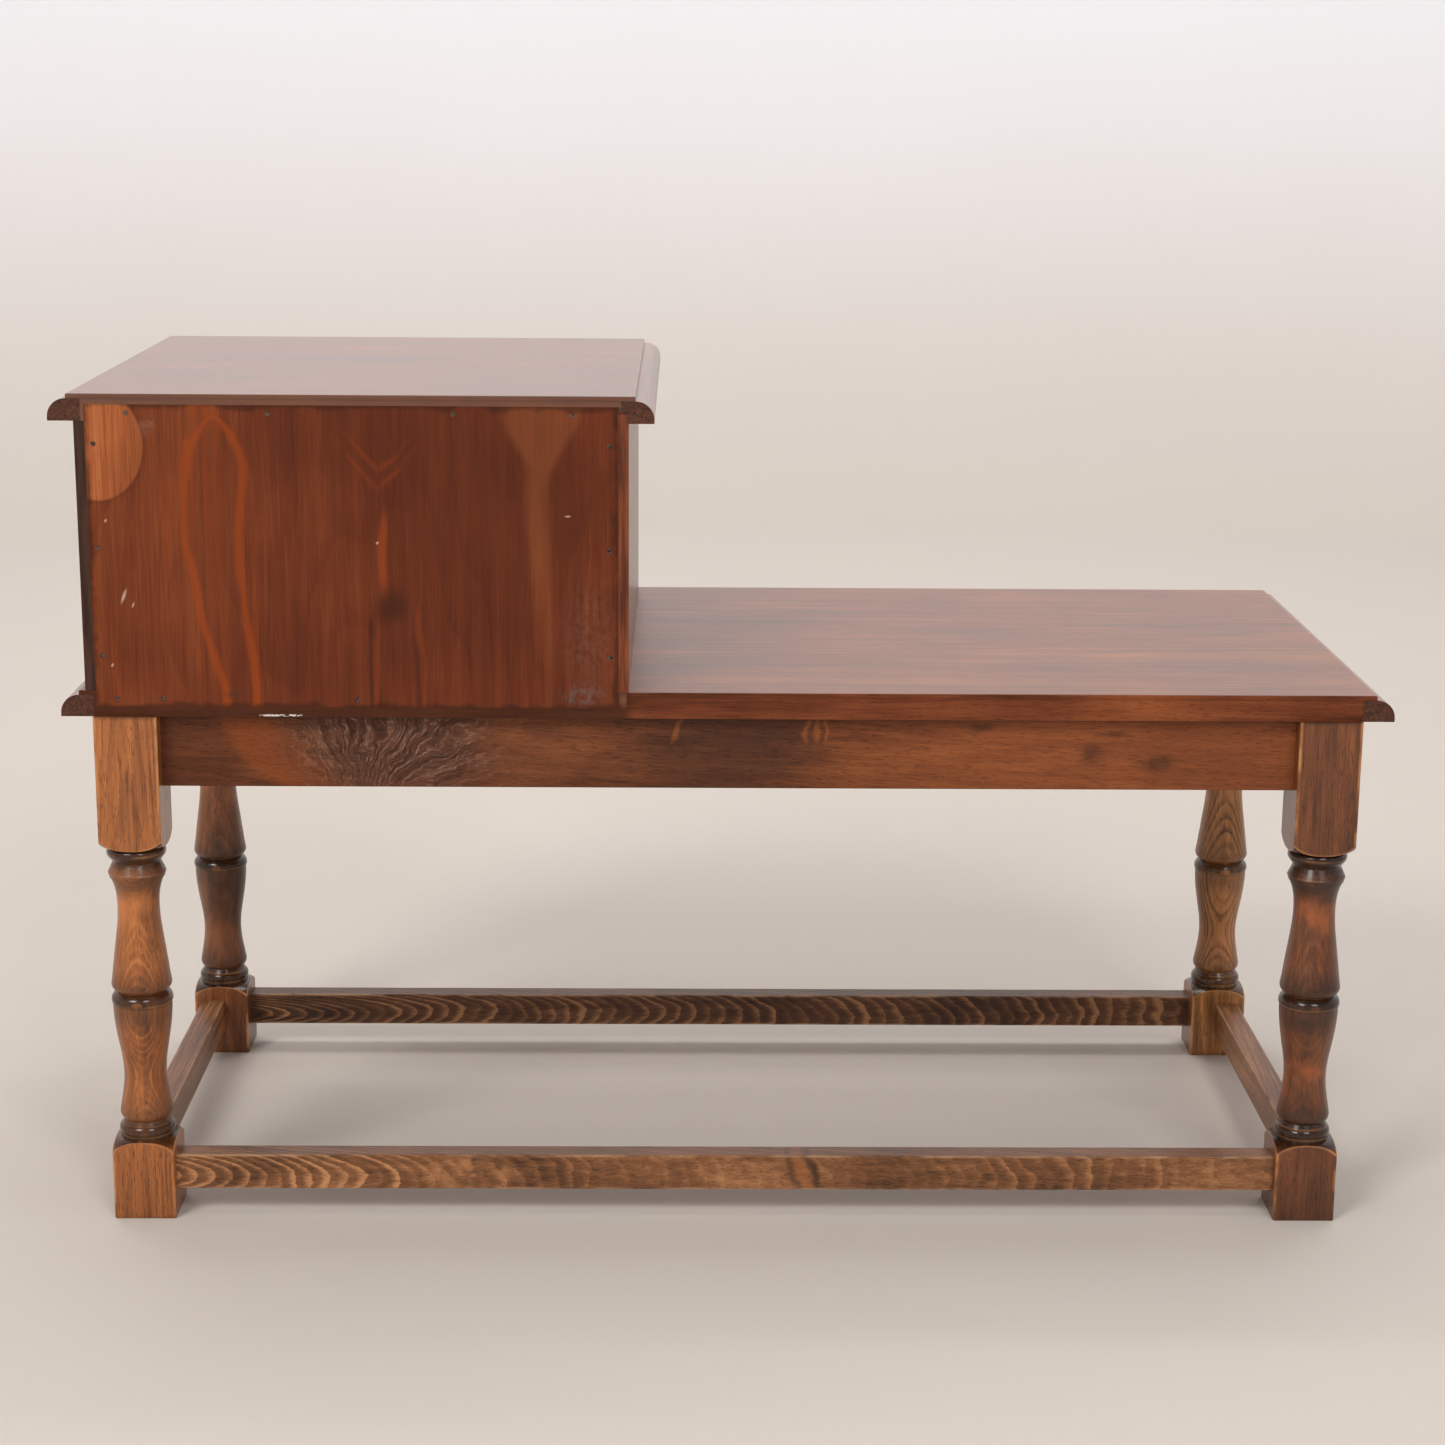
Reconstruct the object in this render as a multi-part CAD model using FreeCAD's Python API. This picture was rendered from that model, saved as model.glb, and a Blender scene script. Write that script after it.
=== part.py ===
"""Entryway telephone bench: turned legs, a moulded seat board and a small cabinet with one drawer.

The front faces -Y and the plain back faces +Y. The cabinet stands on the +X end of the seat.
Left and right are those of a person who stands in front of the bench. All sizes are in millimetres.
"""
import FreeCAD, Part
import math
import os

V = FreeCAD.Vector

# ---------------------------------------------------------------- driving dimensions
# Legs
leg_section = 43.0              # side of the square blank
leg_span_x = 860.0              # outside to outside, along the bench
leg_span_y = 380.0              # outside to outside, front to back
leg_height = 362.5              # floor to the underside of the seat
foot_block_height = 48.5        # square foot, at its corners
top_block_height = 86.5         # square top block, at its corners
block_edge_radius = 1.2         # worn long edges of the blocks
foot_edge_radius = 1.0          # worn edges under the foot

# Turned part of a leg: radii, with the heights of its beads
shoulder_rise = 8.7             # domed end of each square block
shoulder_radius = 18.0
ring_radius = 18.8
ring_height = 2.2
bead_radius = 19.5
bead_height = 7.0
lower_neck_radius = 15.8
lower_neck_height = 3.0
lower_belly_radius = 18.4       # widest turning of the lower baluster, just above its neck
lower_waist_radius = 14.9
lower_flare_radius = 20.4       # top end of the lower baluster
collar_radius = 20.9
collar_height = 8.0
groove_radius = 17.2
upper_belly_radius = 20.9
upper_waist_radius = 14.4
upper_flare_radius = 18.4
cone_radius = 19.9              # sharp bead under the upper groove
cone_height = 11.6
upper_groove_radius = 16.7
crown_radius = 20.4             # dark bead under the top block
crown_height = 10.0
baluster_split = 0.51           # share of the free turned length that the lower baluster takes

# Aprons and stretchers
apron_height = 51.0
apron_thickness = 20.0
apron_recess = 13.0             # behind the outer faces of the legs
stretcher_height = 25.5
stretcher_thickness = 18.0
stretcher_lift = 19.5           # floor to the underside of a stretcher
long_stretcher_recess = 8.0
short_stretcher_recess = 6.0
rail_edge_radius = 1.0
tenon_thickness = 8.0
tenon_length = 14.0
tenon_shoulder = 4.0            # shoulder above and below each tenon
joint_gap = 0.1                 # glue gap round tenons, dowels and housed ends

# Boards with moulded lippings
board_thickness = 18.0
top_layer = 3.2                 # top layer of a board, which covers the lipping
ledge = 0.8                     # flat of the lipping that shows beside the top layer
ovolo_reach = 11.7              # quarter-round part of the lipping
nose_height = 2.0
lip_lap = 9.5                   # lipping hidden under the top layer
board_corner_radius = 3.0
board_edge_radius = 0.8
board_rear_inset = 3.5          # boards stop short of the rear faces of the legs
seat_overhang_x = 9.0           # top layer past the legs, at the ends
seat_overhang_front = 10.0

# Cabinet
cabinet_width = 366.0           # over its two sides
cabinet_side_height = 182.0
cabinet_side_thickness = 18.0
cabinet_end_inset = 4.5         # side panels stand inside the top layers by this much
cabinet_front_setback = 6.0     # side panels behind the front edge of the top layers
panel_edge_radius = 0.8
shelf_thickness = 15.0
shelf_housing = 6.0             # depth of the grooves that hold the shelf
shelf_setback = 1.0
compartment_height = 62.0       # open space under the shelf
kicker_width = 12.0
kicker_gap = 1.0
stop_size = (30.0, 8.0, 4.5)    # drawer stop: length, depth, height

# Back panel
back_thickness = 4.0
back_lap = 11.0                 # overlap of the panel on sides and boards
rebate_run_out = 5.5            # rebates in the boards run past the panel on the left
tab_height = 6.5                # end of the left side that fills part of the run-out
nail_radius = 0.8
nail_head_radius = 1.6
nail_head_height = 0.5
nail_length = 14.0
nail_edge = 5.5                 # nails from the edge of the panel
top_nail_places = (28.0, 121.0, 243.0, 321.0)     # from the right edge of the panel
side_nail_places = (26.0, 96.0, 169.0)            # below the top edge of the panel
bottom_nail_places = (14.0, 45.0, 176.0, 320.0)   # from the right edge of the panel

# Screws, dowels and glue blocks
screw_radius = 2.0
screw_head_radius = 4.0
screw_head_height = 2.6
cabinet_screw_length = 45.0
seat_screw_length = 42.0
fixing_edge = 70.0              # first and last fixing of a side panel from its ends
dowel_radius = 4.0
dowel_length = 30.0
dowel_depth_in_top = 11.0
glue_block_leg = 60.0
glue_block_flat = 6.0
glue_block_height = 30.0
glue_block_notch_gap = 1.0
seat_screw_offset = 22.0        # from both apron faces

# Drawer
drawer_gap = 1.5                # round the drawer front
drawer_running_gap = 0.4        # under the drawer sides
drawer_front_thickness = 18.0
drawer_side_thickness = 10.0
drawer_side_height = 82.0
drawer_front_lap = 8.0          # drawer front left in front of the ends of the drawer sides
drawer_rear_gap = 12.0          # between the drawer sides and the back panel
drawer_back_thickness = 10.0
drawer_back_housing = 3.0
drawer_back_drop = 4.0          # back is lower than the sides
drawer_bottom_thickness = 4.0
drawer_bottom_lift = 8.0
drawer_groove = 4.0
drawer_edge_radius = 1.2
frame_inset = 13.0              # applied moulding from the edge of the drawer front
frame_width = 10.0
frame_height = 5.0
frame_flat = 2.0

# Drop pulls
pull_spacing = 160.0
pull_plate_radius = 15.0
pull_plate_thickness = 1.5
pull_plate_dome = 1.6
pull_reach = 10.5               # hinge pin in front of the plate's flat
fork_radius = 4.5
fork_nose = 3.5                 # fork in front of the pin
fork_slot = 3.4
fork_slot_back = 4.2            # slot behind the pin
drop_eye_radius = 3.0
drop_eye_thickness = 2.6
pin_radius = 1.0
pin_clearance = 0.05
drop_length = 34.0              # hinge pin to the tip of the drop
drop_neck_radius = 1.3
drop_neck_length = 7.5
drop_radius = 5.6
shank_radius = 2.0
nut_radius = 4.0
nut_height = 3.2

# ---------------------------------------------------------------- derived positions
moulding = ledge + ovolo_reach
rear_y = (leg_span_y + seat_overhang_front + moulding) / 2
leg_mid_y = rear_y - leg_span_y / 2
board_rear_y = rear_y - board_rear_inset
board_front_y = rear_y - leg_span_y - seat_overhang_front
seat_half = leg_span_x / 2 + seat_overhang_x
seat_top = leg_height + board_thickness

inner_x = leg_span_x / 2 - leg_section
inner_y = rear_y - leg_section
apron_bottom = leg_height - apron_height
long_apron_y = rear_y - apron_recess - apron_thickness / 2
side_apron_x = leg_span_x / 2 - apron_recess - apron_thickness / 2
long_stretcher_y = rear_y - long_stretcher_recess - stretcher_thickness / 2
side_stretcher_x = leg_span_x / 2 - short_stretcher_recess - stretcher_thickness / 2

cabinet_right = seat_half - cabinet_end_inset
cabinet_left = cabinet_right - cabinet_width
cabinet_mid = (cabinet_left + cabinet_right) / 2
inner_right = cabinet_right - cabinet_side_thickness
inner_left = cabinet_left + cabinet_side_thickness
cabinet_front_y = board_front_y + cabinet_front_setback
side_top = seat_top + cabinet_side_height
back_inner_y = board_rear_y - back_thickness
shelf_bottom = seat_top + compartment_height
shelf_top = shelf_bottom + shelf_thickness

panel_left = inner_left - back_lap
panel_right = inner_right + back_lap
panel_bottom = seat_top - back_lap
panel_top = side_top + back_lap

drawer_left = inner_left + drawer_gap
drawer_right = inner_right - drawer_gap
drawer_front_y = cabinet_front_y
drawer_front_back_y = drawer_front_y + drawer_front_thickness
drawer_rear_y = back_inner_y - drawer_rear_gap
drawer_front_bottom = shelf_top + drawer_gap
drawer_front_top = side_top - drawer_gap
drawer_side_bottom = shelf_top + drawer_running_gap
drawer_side_top = drawer_side_bottom + drawer_side_height
drawer_bottom_z = drawer_side_bottom + drawer_bottom_lift
pull_z = (drawer_front_bottom + drawer_front_top) / 2 + drop_length / 3
pull_pin_y = drawer_front_y - pull_plate_thickness - pull_reach
pull_places = (cabinet_mid - pull_spacing / 2, cabinet_mid + pull_spacing / 2)


# ---------------------------------------------------------------- shape helpers
def box(x_range, y_range, z_range):
    """Box between two values on each axis."""
    corner = V(min(x_range), min(y_range), min(z_range))
    size = [abs(high - low) for low, high in (x_range, y_range, z_range)]
    return Part.makeBox(size[0], size[1], size[2], corner)


def cylinder(radius, start, direction, length):
    return Part.makeCylinder(radius, length, start, direction)


def one(shape):
    """A clean shape after joins and cuts."""
    return shape.removeSplitter()


def cut(shape, tools):
    for tool in tools:
        shape = shape.cut(tool)
    return one(shape)


def near(a, b):
    return abs(a - b) < 0.01


def edges_along(shape, axis):
    """Straight edges that run along one axis, named x, y or z."""
    return [e for e in shape.Edges if near(getattr(e.BoundBox, axis.upper() + "Length"), e.Length)]


def edges_on(edges, axis, value):
    """Those edges that lie wholly at one value of an axis."""
    side = axis.upper()
    return [e for e in edges if near(getattr(e.BoundBox, side + "Min"), value)
            and near(getattr(e.BoundBox, side + "Max"), value)]


def prism(points, z_range):
    """Upright prism on a plan outline."""
    outline = [V(x, y, z_range[0]) for x, y in points]
    face = Part.Face(Part.makePolygon(outline + outline[:1]))
    return face.extrude(V(0, 0, z_range[1] - z_range[0]))


def mirror_x(shape):
    return shape.mirror(V(0, 0, 0), V(1, 0, 0))


def mirror_y(shape):
    """Mirror front to back about the middle of the leg frame."""
    return shape.mirror(V(0, leg_mid_y, 0), V(0, 1, 0))


def save(name, shapes):
    """Write one node, of one solid or of a group of separate solids."""
    shapes = shapes if isinstance(shapes, list) else [shapes]
    solids = [solid for shape in shapes for solid in shape.Solids]
    result = solids[0] if len(solids) == 1 else Part.makeCompound(solids)
    result.exportStep("parts/%s.step" % name)
    print("%-26s %2d solid(s) %10.0f mm3" % (name, len(solids), sum(s.Volume for s in solids)))


class Outline:
    """Half outline of a turned piece, drawn from the bottom up with radius and height."""

    def __init__(self, radius, height):
        self.at = V(radius, 0, height)
        self.edges = []

    def line(self, radius, rise=0.0):
        end = V(radius, 0, self.at.z + rise)
        self.edges.append(Part.LineSegment(self.at, end).toShape())
        self.at = end
        return self

    def arc(self, via_radius, via_rise, radius, rise):
        via = V(via_radius, 0, self.at.z + via_rise)
        end = V(radius, 0, self.at.z + rise)
        self.edges.append(Part.Arc(self.at, via, end).toShape())
        self.at = end
        return self

    def curve(self, points):
        """Smooth curve through points given as radius and rise."""
        base = self.at.z
        stations = [self.at] + [V(radius, 0, base + rise) for radius, rise in points]
        spline = Part.BSplineCurve()
        spline.interpolate(stations)
        self.edges.append(spline.toShape())
        self.at = stations[-1]
        return self

    def solid(self):
        """Close the outline on the axis and turn it once round."""
        first = self.edges[0].Vertexes[0].Point
        foot = V(0, 0, first.z)
        head = V(0, 0, self.at.z)
        ends = [Part.LineSegment(foot, first).toShape()]
        close = [Part.LineSegment(self.at, head).toShape(), Part.LineSegment(head, foot).toShape()]
        wire = Part.Wire(ends + self.edges + close)
        return Part.Face(wire).revolve(V(0, 0, 0), V(0, 0, 1), 360)


# ---------------------------------------------------------------- legs
def turned_body():
    """Revolved leg: full-size cylinders stand for the square blocks, which are cut square later."""
    corner = leg_section / math.sqrt(2) + 0.2
    turned = leg_height - foot_block_height - top_block_height
    beads = (2 * shoulder_rise + ring_height + bead_height + lower_neck_height
             + collar_height + cone_height + crown_height)
    free = turned - beads
    lower = baluster_split * free
    upper = free - lower

    pen = Outline(corner, 0)
    pen.line(corner, foot_block_height)
    pen.arc(25.5, 0.67 * shoulder_rise, shoulder_radius, shoulder_rise)
    pen.line(ring_radius)
    pen.line(ring_radius, ring_height)
    pen.arc(bead_radius, 0.37 * bead_height, 17.3, bead_height)
    pen.line(lower_neck_radius, lower_neck_height)

    # lower baluster: a rounded belly, a long waist and a wide top
    pen.arc(lower_belly_radius - 0.4, 0.035 * lower, lower_belly_radius, 0.07 * lower)
    pen.curve([
        (0.65 * lower_belly_radius + 0.35 * lower_waist_radius, 0.08 * lower),
        (lower_waist_radius + 0.1, 0.25 * lower),
        (lower_waist_radius + 0.2, 0.41 * lower),
        (0.5 * (lower_waist_radius + lower_flare_radius), 0.60 * lower),
        (lower_flare_radius - 0.5, 0.79 * lower),
        (lower_flare_radius, 0.93 * lower),
    ])
    pen.line(collar_radius)
    pen.arc(collar_radius + 0.1, 0.45 * collar_height, groove_radius + 1.2, 0.88 * collar_height)
    pen.line(groove_radius, 0.12 * collar_height)

    # upper baluster: the same shape, with its waist higher up
    pen.arc(upper_belly_radius - 0.7, 0.035 * upper, upper_belly_radius, 0.07 * upper)
    pen.curve([
        (upper_belly_radius - 1.2, 0.10 * upper),
        (0.5 * (upper_waist_radius + upper_belly_radius), 0.29 * upper),
        (upper_waist_radius + 1.0, 0.49 * upper),
        (upper_waist_radius, 0.67 * upper),
        (upper_waist_radius + 1.2, 0.83 * upper),
        (upper_flare_radius, 0.93 * upper),
    ])
    pen.line(upper_flare_radius + 0.5)
    pen.line(cone_radius, 0.30 * cone_height)
    pen.line(cone_radius - 0.4, 0.08 * cone_height)
    pen.line(upper_groove_radius, 0.54 * cone_height)
    pen.line(upper_groove_radius, 0.08 * cone_height)
    pen.line(crown_radius - 1.6, 0.30 * crown_height)
    pen.arc(crown_radius, 0.33 * crown_height, crown_radius - 1.8, 0.70 * crown_height)
    pen.line(shoulder_radius)
    pen.arc(25.5, 0.33 * shoulder_rise, corner, shoulder_rise)
    pen.line(corner, top_block_height)
    return pen.solid()


def tenon(inner, middle, bottom, height, gap):
    """Tenon along +X from the inner face of a leg, with a gap on all sides for its mortise."""
    half = tenon_thickness / 2 + gap
    return box((inner, inner + tenon_length + gap), (middle - half, middle + half),
               (bottom + tenon_shoulder - gap, bottom + height - tenon_shoulder + gap))


def swap_xy(shape):
    """Mirror about the diagonal plane, so that what ran along X runs along Y."""
    return shape.mirror(V(0, 0, 0), V(1, -1, 0))


def tenons_at_rear_right(gap):
    """The four tenons that meet the rear right leg: two along X and two along Y."""
    along_x = [tenon(inner_x, long_apron_y, apron_bottom, apron_height, gap),
               tenon(inner_x, long_stretcher_y, stretcher_lift, stretcher_height, gap)]
    along_y = [tenon(inner_y, side_apron_x, apron_bottom, apron_height, gap),
               tenon(inner_y, side_stretcher_x, stretcher_lift, stretcher_height, gap)]
    return along_x, [swap_xy(one_tenon) for one_tenon in along_y]


def rear_right_leg():
    half = leg_section / 2
    blank = box((-half, half), (-half, half), (0, leg_height))
    blank = blank.makeFillet(block_edge_radius, edges_along(blank, "z"))
    blank = blank.makeFillet(foot_edge_radius, edges_on(blank.Edges, "z", 0))
    leg = blank.common(turned_body())
    leg.translate(V(leg_span_x / 2 - half, rear_y - half, 0))
    along_x, along_y = tenons_at_rear_right(joint_gap)
    return cut(leg, along_x + along_y)


def build_legs():
    rear_right = rear_right_leg()
    rear_left = mirror_x(rear_right)
    save("leg_rear_right", rear_right)
    save("leg_rear_left", rear_left)
    save("leg_front_right", mirror_y(rear_right))
    save("leg_front_left", mirror_y(rear_left))


# ---------------------------------------------------------------- aprons and stretchers
def long_rail(middle_y, thickness, bottom, height, right_tenon):
    """Rear rail between the two rear legs, with its tenons."""
    y_range = (middle_y - thickness / 2, middle_y + thickness / 2)
    rail = box((-inner_x, inner_x), y_range, (bottom, bottom + height))
    rail = rail.makeFillet(rail_edge_radius, edges_along(rail, "x"))
    return one(rail.fuse([right_tenon, mirror_x(right_tenon)]))


def side_rail(middle_x, thickness, bottom, height, rear_tenon):
    """Right rail between the front and rear legs, with its tenons."""
    x_range = (middle_x - thickness / 2, middle_x + thickness / 2)
    rail = box(x_range, (2 * leg_mid_y - inner_y, inner_y), (bottom, bottom + height))
    rail = rail.makeFillet(rail_edge_radius, edges_along(rail, "y"))
    return one(rail.fuse([rear_tenon, mirror_y(rear_tenon)]))


def build_rails():
    along_x, along_y = tenons_at_rear_right(0)
    rear_apron = long_rail(long_apron_y, apron_thickness, apron_bottom, apron_height, along_x[0])
    right_apron = side_rail(side_apron_x, apron_thickness, apron_bottom, apron_height, along_y[0])
    rear_stretcher = long_rail(long_stretcher_y, stretcher_thickness, stretcher_lift,
                               stretcher_height, along_x[1])
    right_stretcher = side_rail(side_stretcher_x, stretcher_thickness, stretcher_lift,
                                stretcher_height, along_y[1])
    save("apron_rear", rear_apron)
    save("apron_front", mirror_y(rear_apron))
    save("apron_right", right_apron)
    save("apron_left", mirror_x(right_apron))
    save("stretcher_rear", rear_stretcher)
    save("stretcher_front", mirror_y(rear_stretcher))
    save("stretcher_right", right_stretcher)
    save("stretcher_left", mirror_x(right_stretcher))


# ---------------------------------------------------------------- fixings
def screw(start, direction, length):
    """Countersunk wood screw: flat head at the start point, pointed end along the direction."""
    cone = Part.makeCone(screw_head_radius, screw_radius, screw_head_height, start, direction)
    point_length = 2 * screw_radius
    shank = cylinder(screw_radius, start, direction, length - point_length)
    point_start = start + direction * (length - point_length)
    point = Part.makeCone(screw_radius, screw_radius / 4, point_length, point_start, direction)
    return one(cone.fuse([shank, point]))


def side_fixing_places():
    """Where screws and dowels meet the two side panels, in plan."""
    first = cabinet_front_y + fixing_edge
    last = back_inner_y - fixing_edge
    columns = (cabinet_left + cabinet_side_thickness / 2, cabinet_right - cabinet_side_thickness / 2)
    return [(x, y) for x in columns for y in (first, (first + last) / 2, last)]


def cabinet_screws():
    return [screw(V(x, y, leg_height), V(0, 0, 1), cabinet_screw_length) for x, y in side_fixing_places()]


def top_dowels(gap=0.0):
    """Dowels from the side panels into the underside of the top, or their holes with a gap."""
    bottom = side_top + dowel_depth_in_top - dowel_length
    return [cylinder(dowel_radius + gap, V(x, y, bottom - gap), V(0, 0, 1), dowel_length + 2 * gap)
            for x, y in side_fixing_places()]


def seat_screws():
    """One screw up through each glue block into the seat board."""
    x = side_apron_x - apron_thickness / 2 - seat_screw_offset
    y = long_apron_y - apron_thickness / 2 - seat_screw_offset
    start = V(x, y, leg_height - glue_block_height)
    rear_right = screw(start, V(0, 0, 1), seat_screw_length)
    right = [rear_right, mirror_y(rear_right)]
    return right + [mirror_x(one_screw) for one_screw in right]


def glue_blocks():
    """Blocks rubbed into the corners of the apron frame, notched round the legs."""
    corner_x = side_apron_x - apron_thickness / 2
    corner_y = long_apron_y - apron_thickness / 2
    notch = leg_section - apron_recess - apron_thickness + glue_block_notch_gap
    plan = [(notch, 0), (glue_block_leg, 0), (glue_block_leg, glue_block_flat),
            (glue_block_flat, glue_block_leg), (0, glue_block_leg), (0, notch), (notch, notch)]
    points = [(corner_x - dx, corner_y - dy) for dx, dy in plan]
    rear_right = prism(points, (leg_height - glue_block_height, leg_height))
    right = [rear_right, mirror_y(rear_right)]
    blocks = right + [mirror_x(block) for block in right]
    return [cut(block, seat_screws()) for block in blocks]


# ---------------------------------------------------------------- boards with moulded lippings
def lip_stick(start, outward, along, length):
    """Straight length of lipping; the start point is on the underside, below the step."""
    up = V(0, 0, 1)

    def at(reach, height):
        return start + outward * reach + up * height

    shelf = board_thickness - top_layer
    ovolo_height = shelf - nose_height
    quarter = math.sqrt(0.5)
    middle = at(ledge + quarter * ovolo_reach, nose_height + quarter * ovolo_height)
    corners = [at(ledge, shelf), at(-lip_lap, shelf), at(-lip_lap, 0),
               at(moulding, 0), at(moulding, nose_height)]
    edges = [Part.LineSegment(a, b).toShape() for a, b in zip(corners, corners[1:])]
    edges.append(Part.Arc(corners[-1], middle, corners[0]).toShape())
    return Part.Face(Part.Wire(edges)).extrude(along * length)


def lippings(x_range, bottom):
    """Front, left and right lippings of a board, mitred at the front corners."""
    left, right = x_range
    z_range = (bottom, bottom + board_thickness)
    nose_front = board_front_y - moulding
    length = board_rear_y - nose_front
    front_plan = [(left - moulding, nose_front), (right + moulding, nose_front),
                  (right - lip_lap, board_front_y + lip_lap), (left + lip_lap, board_front_y + lip_lap)]
    left_plan = [(left - moulding, nose_front), (left + lip_lap, board_front_y + lip_lap),
                 (left + lip_lap, board_rear_y), (left - moulding, board_rear_y)]
    right_plan = [(left + right - x, y) for x, y in left_plan]
    front = lip_stick(V(left - moulding, board_front_y, bottom), V(0, -1, 0), V(1, 0, 0),
                      right - left + 2 * moulding)
    left_stick = lip_stick(V(left, board_rear_y, bottom), V(-1, 0, 0), V(0, -1, 0), length)
    right_stick = lip_stick(V(right, board_rear_y, bottom), V(1, 0, 0), V(0, -1, 0), length)
    return (front.common(prism(front_plan, z_range)),
            left_stick.common(prism(left_plan, z_range)),
            right_stick.common(prism(right_plan, z_range)))


def lipped_board(x_range, bottom):
    """Board whose top layer covers the lippings and whose core lies between them."""
    left, right = x_range
    top = bottom + board_thickness
    layer = box(x_range, (board_front_y, board_rear_y), (top - top_layer, top))
    front_corners = edges_on(edges_along(layer, "z"), "y", board_front_y)
    layer = layer.makeFillet(board_corner_radius, front_corners)
    layer = layer.makeFillet(board_edge_radius, edges_on(layer.Edges, "z", top))
    core = box((left + lip_lap, right - lip_lap), (board_front_y + lip_lap, board_rear_y),
               (bottom, top - top_layer))
    return one(layer.fuse(core))


def rebate_range():
    """Width of the board rebates: the back panel and the run-out on its left."""
    return (panel_left - rebate_run_out, panel_right)


def build_boards():
    seat_range = (-seat_half, seat_half)
    top_range = (cabinet_left - cabinet_end_inset, seat_half)
    rear_strip = (back_inner_y, board_rear_y + board_edge_radius)

    seat = lipped_board(seat_range, leg_height)
    seat_rebate = box(rebate_range(), rear_strip, (panel_bottom, seat_top + 1))
    seat = cut(seat, [seat_rebate] + cabinet_screws() + seat_screws() + back_nails())
    save("seat_board", seat)
    for name, lipping in zip(("front", "left", "right"), lippings(seat_range, leg_height)):
        save("seat_lipping_" + name, cut(lipping, [seat_rebate] + cabinet_screws()))

    top = lipped_board(top_range, side_top)
    top_rebate = box(rebate_range(), rear_strip, (side_top - 1, panel_top))
    top = cut(top, [top_rebate] + top_dowels(joint_gap) + back_nails())
    save("cabinet_top", top)
    for name, lipping in zip(("front", "left", "right"), lippings(top_range, side_top)):
        save("top_lipping_" + name, cut(lipping, [top_rebate] + top_dowels(joint_gap)))


# ---------------------------------------------------------------- cabinet
def back_nails():
    """Wire nails with flat heads, driven through the panel from behind."""
    top_row = [(panel_right - place, panel_top - nail_edge) for place in top_nail_places]
    bottom_row = [(panel_right - place, panel_bottom + nail_edge) for place in bottom_nail_places]
    right_row = [(panel_right - nail_edge, panel_top - place) for place in side_nail_places]
    left_row = [(panel_left + nail_edge, panel_top - place) for place in side_nail_places]
    nails = []
    for x, z in top_row + bottom_row + right_row + left_row:
        head = cylinder(nail_head_radius, V(x, board_rear_y + nail_head_height, z), V(0, -1, 0),
                        nail_head_height)
        shank = cylinder(nail_radius, V(x, board_rear_y, z), V(0, -1, 0), nail_length)
        nails.append(head.fuse(shank))
    return nails


def side_panel(outer_x, inner_x_face):
    """Side of the cabinet, with a groove for the shelf and a rebate for the back panel."""
    toward_inside = 1 if inner_x_face > outer_x else -1
    panel = box((outer_x, inner_x_face), (cabinet_front_y, board_rear_y), (seat_top, side_top))
    panel = panel.makeFillet(panel_edge_radius, edges_on(edges_along(panel, "z"), "y", cabinet_front_y))
    housing = box((inner_x_face - toward_inside * (shelf_housing + joint_gap), inner_x_face),
                  (cabinet_front_y, back_inner_y), (shelf_bottom, shelf_top))
    rebate = box((inner_x_face - toward_inside * back_lap, inner_x_face),
                 (back_inner_y, board_rear_y), (seat_top, side_top))
    return cut(panel, [housing, rebate] + cabinet_screws() + top_dowels(joint_gap) + back_nails())


def build_cabinet():
    left = side_panel(cabinet_left, inner_left)
    tab = box((panel_left - rebate_run_out, panel_left), (back_inner_y, board_rear_y),
              (side_top - 1, side_top + tab_height))
    save("cabinet_side_left", one(left.fuse(tab)))
    save("cabinet_side_right", side_panel(cabinet_right, inner_right))

    shelf = box((inner_left - shelf_housing, inner_right + shelf_housing),
                (cabinet_front_y + shelf_setback, back_inner_y), (shelf_bottom, shelf_top))
    save("cabinet_shelf", shelf)

    panel = box((panel_left, panel_right), (back_inner_y, board_rear_y), (panel_bottom, panel_top))
    save("back_panel", cut(panel, back_nails()))
    save("back_panel_nails", back_nails())
    save("cabinet_screws", cabinet_screws())
    save("top_dowels", top_dowels())

    kicker_y = (drawer_front_back_y + kicker_gap, back_inner_y)
    kicker_z = (drawer_side_top + kicker_gap, side_top)
    save("drawer_kickers", [box((inner_left, inner_left + kicker_width), kicker_y, kicker_z),
                            box((inner_right - kicker_width, inner_right), kicker_y, kicker_z)])

    length, depth, height = stop_size
    stop_y = (drawer_front_back_y, drawer_front_back_y + depth)
    save("drawer_stops", [box((x - length / 2, x + length / 2), stop_y, (shelf_top, shelf_top + height))
                          for x in pull_places])


# ---------------------------------------------------------------- drawer
def shank_holes():
    return [cylinder(shank_radius, V(x, drawer_front_y - 1, pull_z), V(0, 1, 0), drawer_front_thickness + 2)
            for x in pull_places]


def bottom_panel(gap):
    """Drawer bottom in its grooves, or the space of the grooves with a gap."""
    return box((drawer_left + drawer_side_thickness - drawer_groove - gap,
                drawer_right - drawer_side_thickness + drawer_groove + gap),
               (drawer_front_back_y - drawer_groove - gap, drawer_rear_y),
               (drawer_bottom_z - gap, drawer_bottom_z + drawer_bottom_thickness + gap))


def back_board(gap):
    """Drawer back between the sides, on top of the bottom, or its housings with a gap."""
    rear = drawer_rear_y - drawer_back_thickness
    return box((drawer_left + drawer_side_thickness - drawer_back_housing - gap,
                drawer_right - drawer_side_thickness + drawer_back_housing + gap),
               (rear - drawer_back_thickness - gap, rear + gap),
               (drawer_bottom_z + drawer_bottom_thickness + joint_gap, drawer_side_top - drawer_back_drop))


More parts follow.
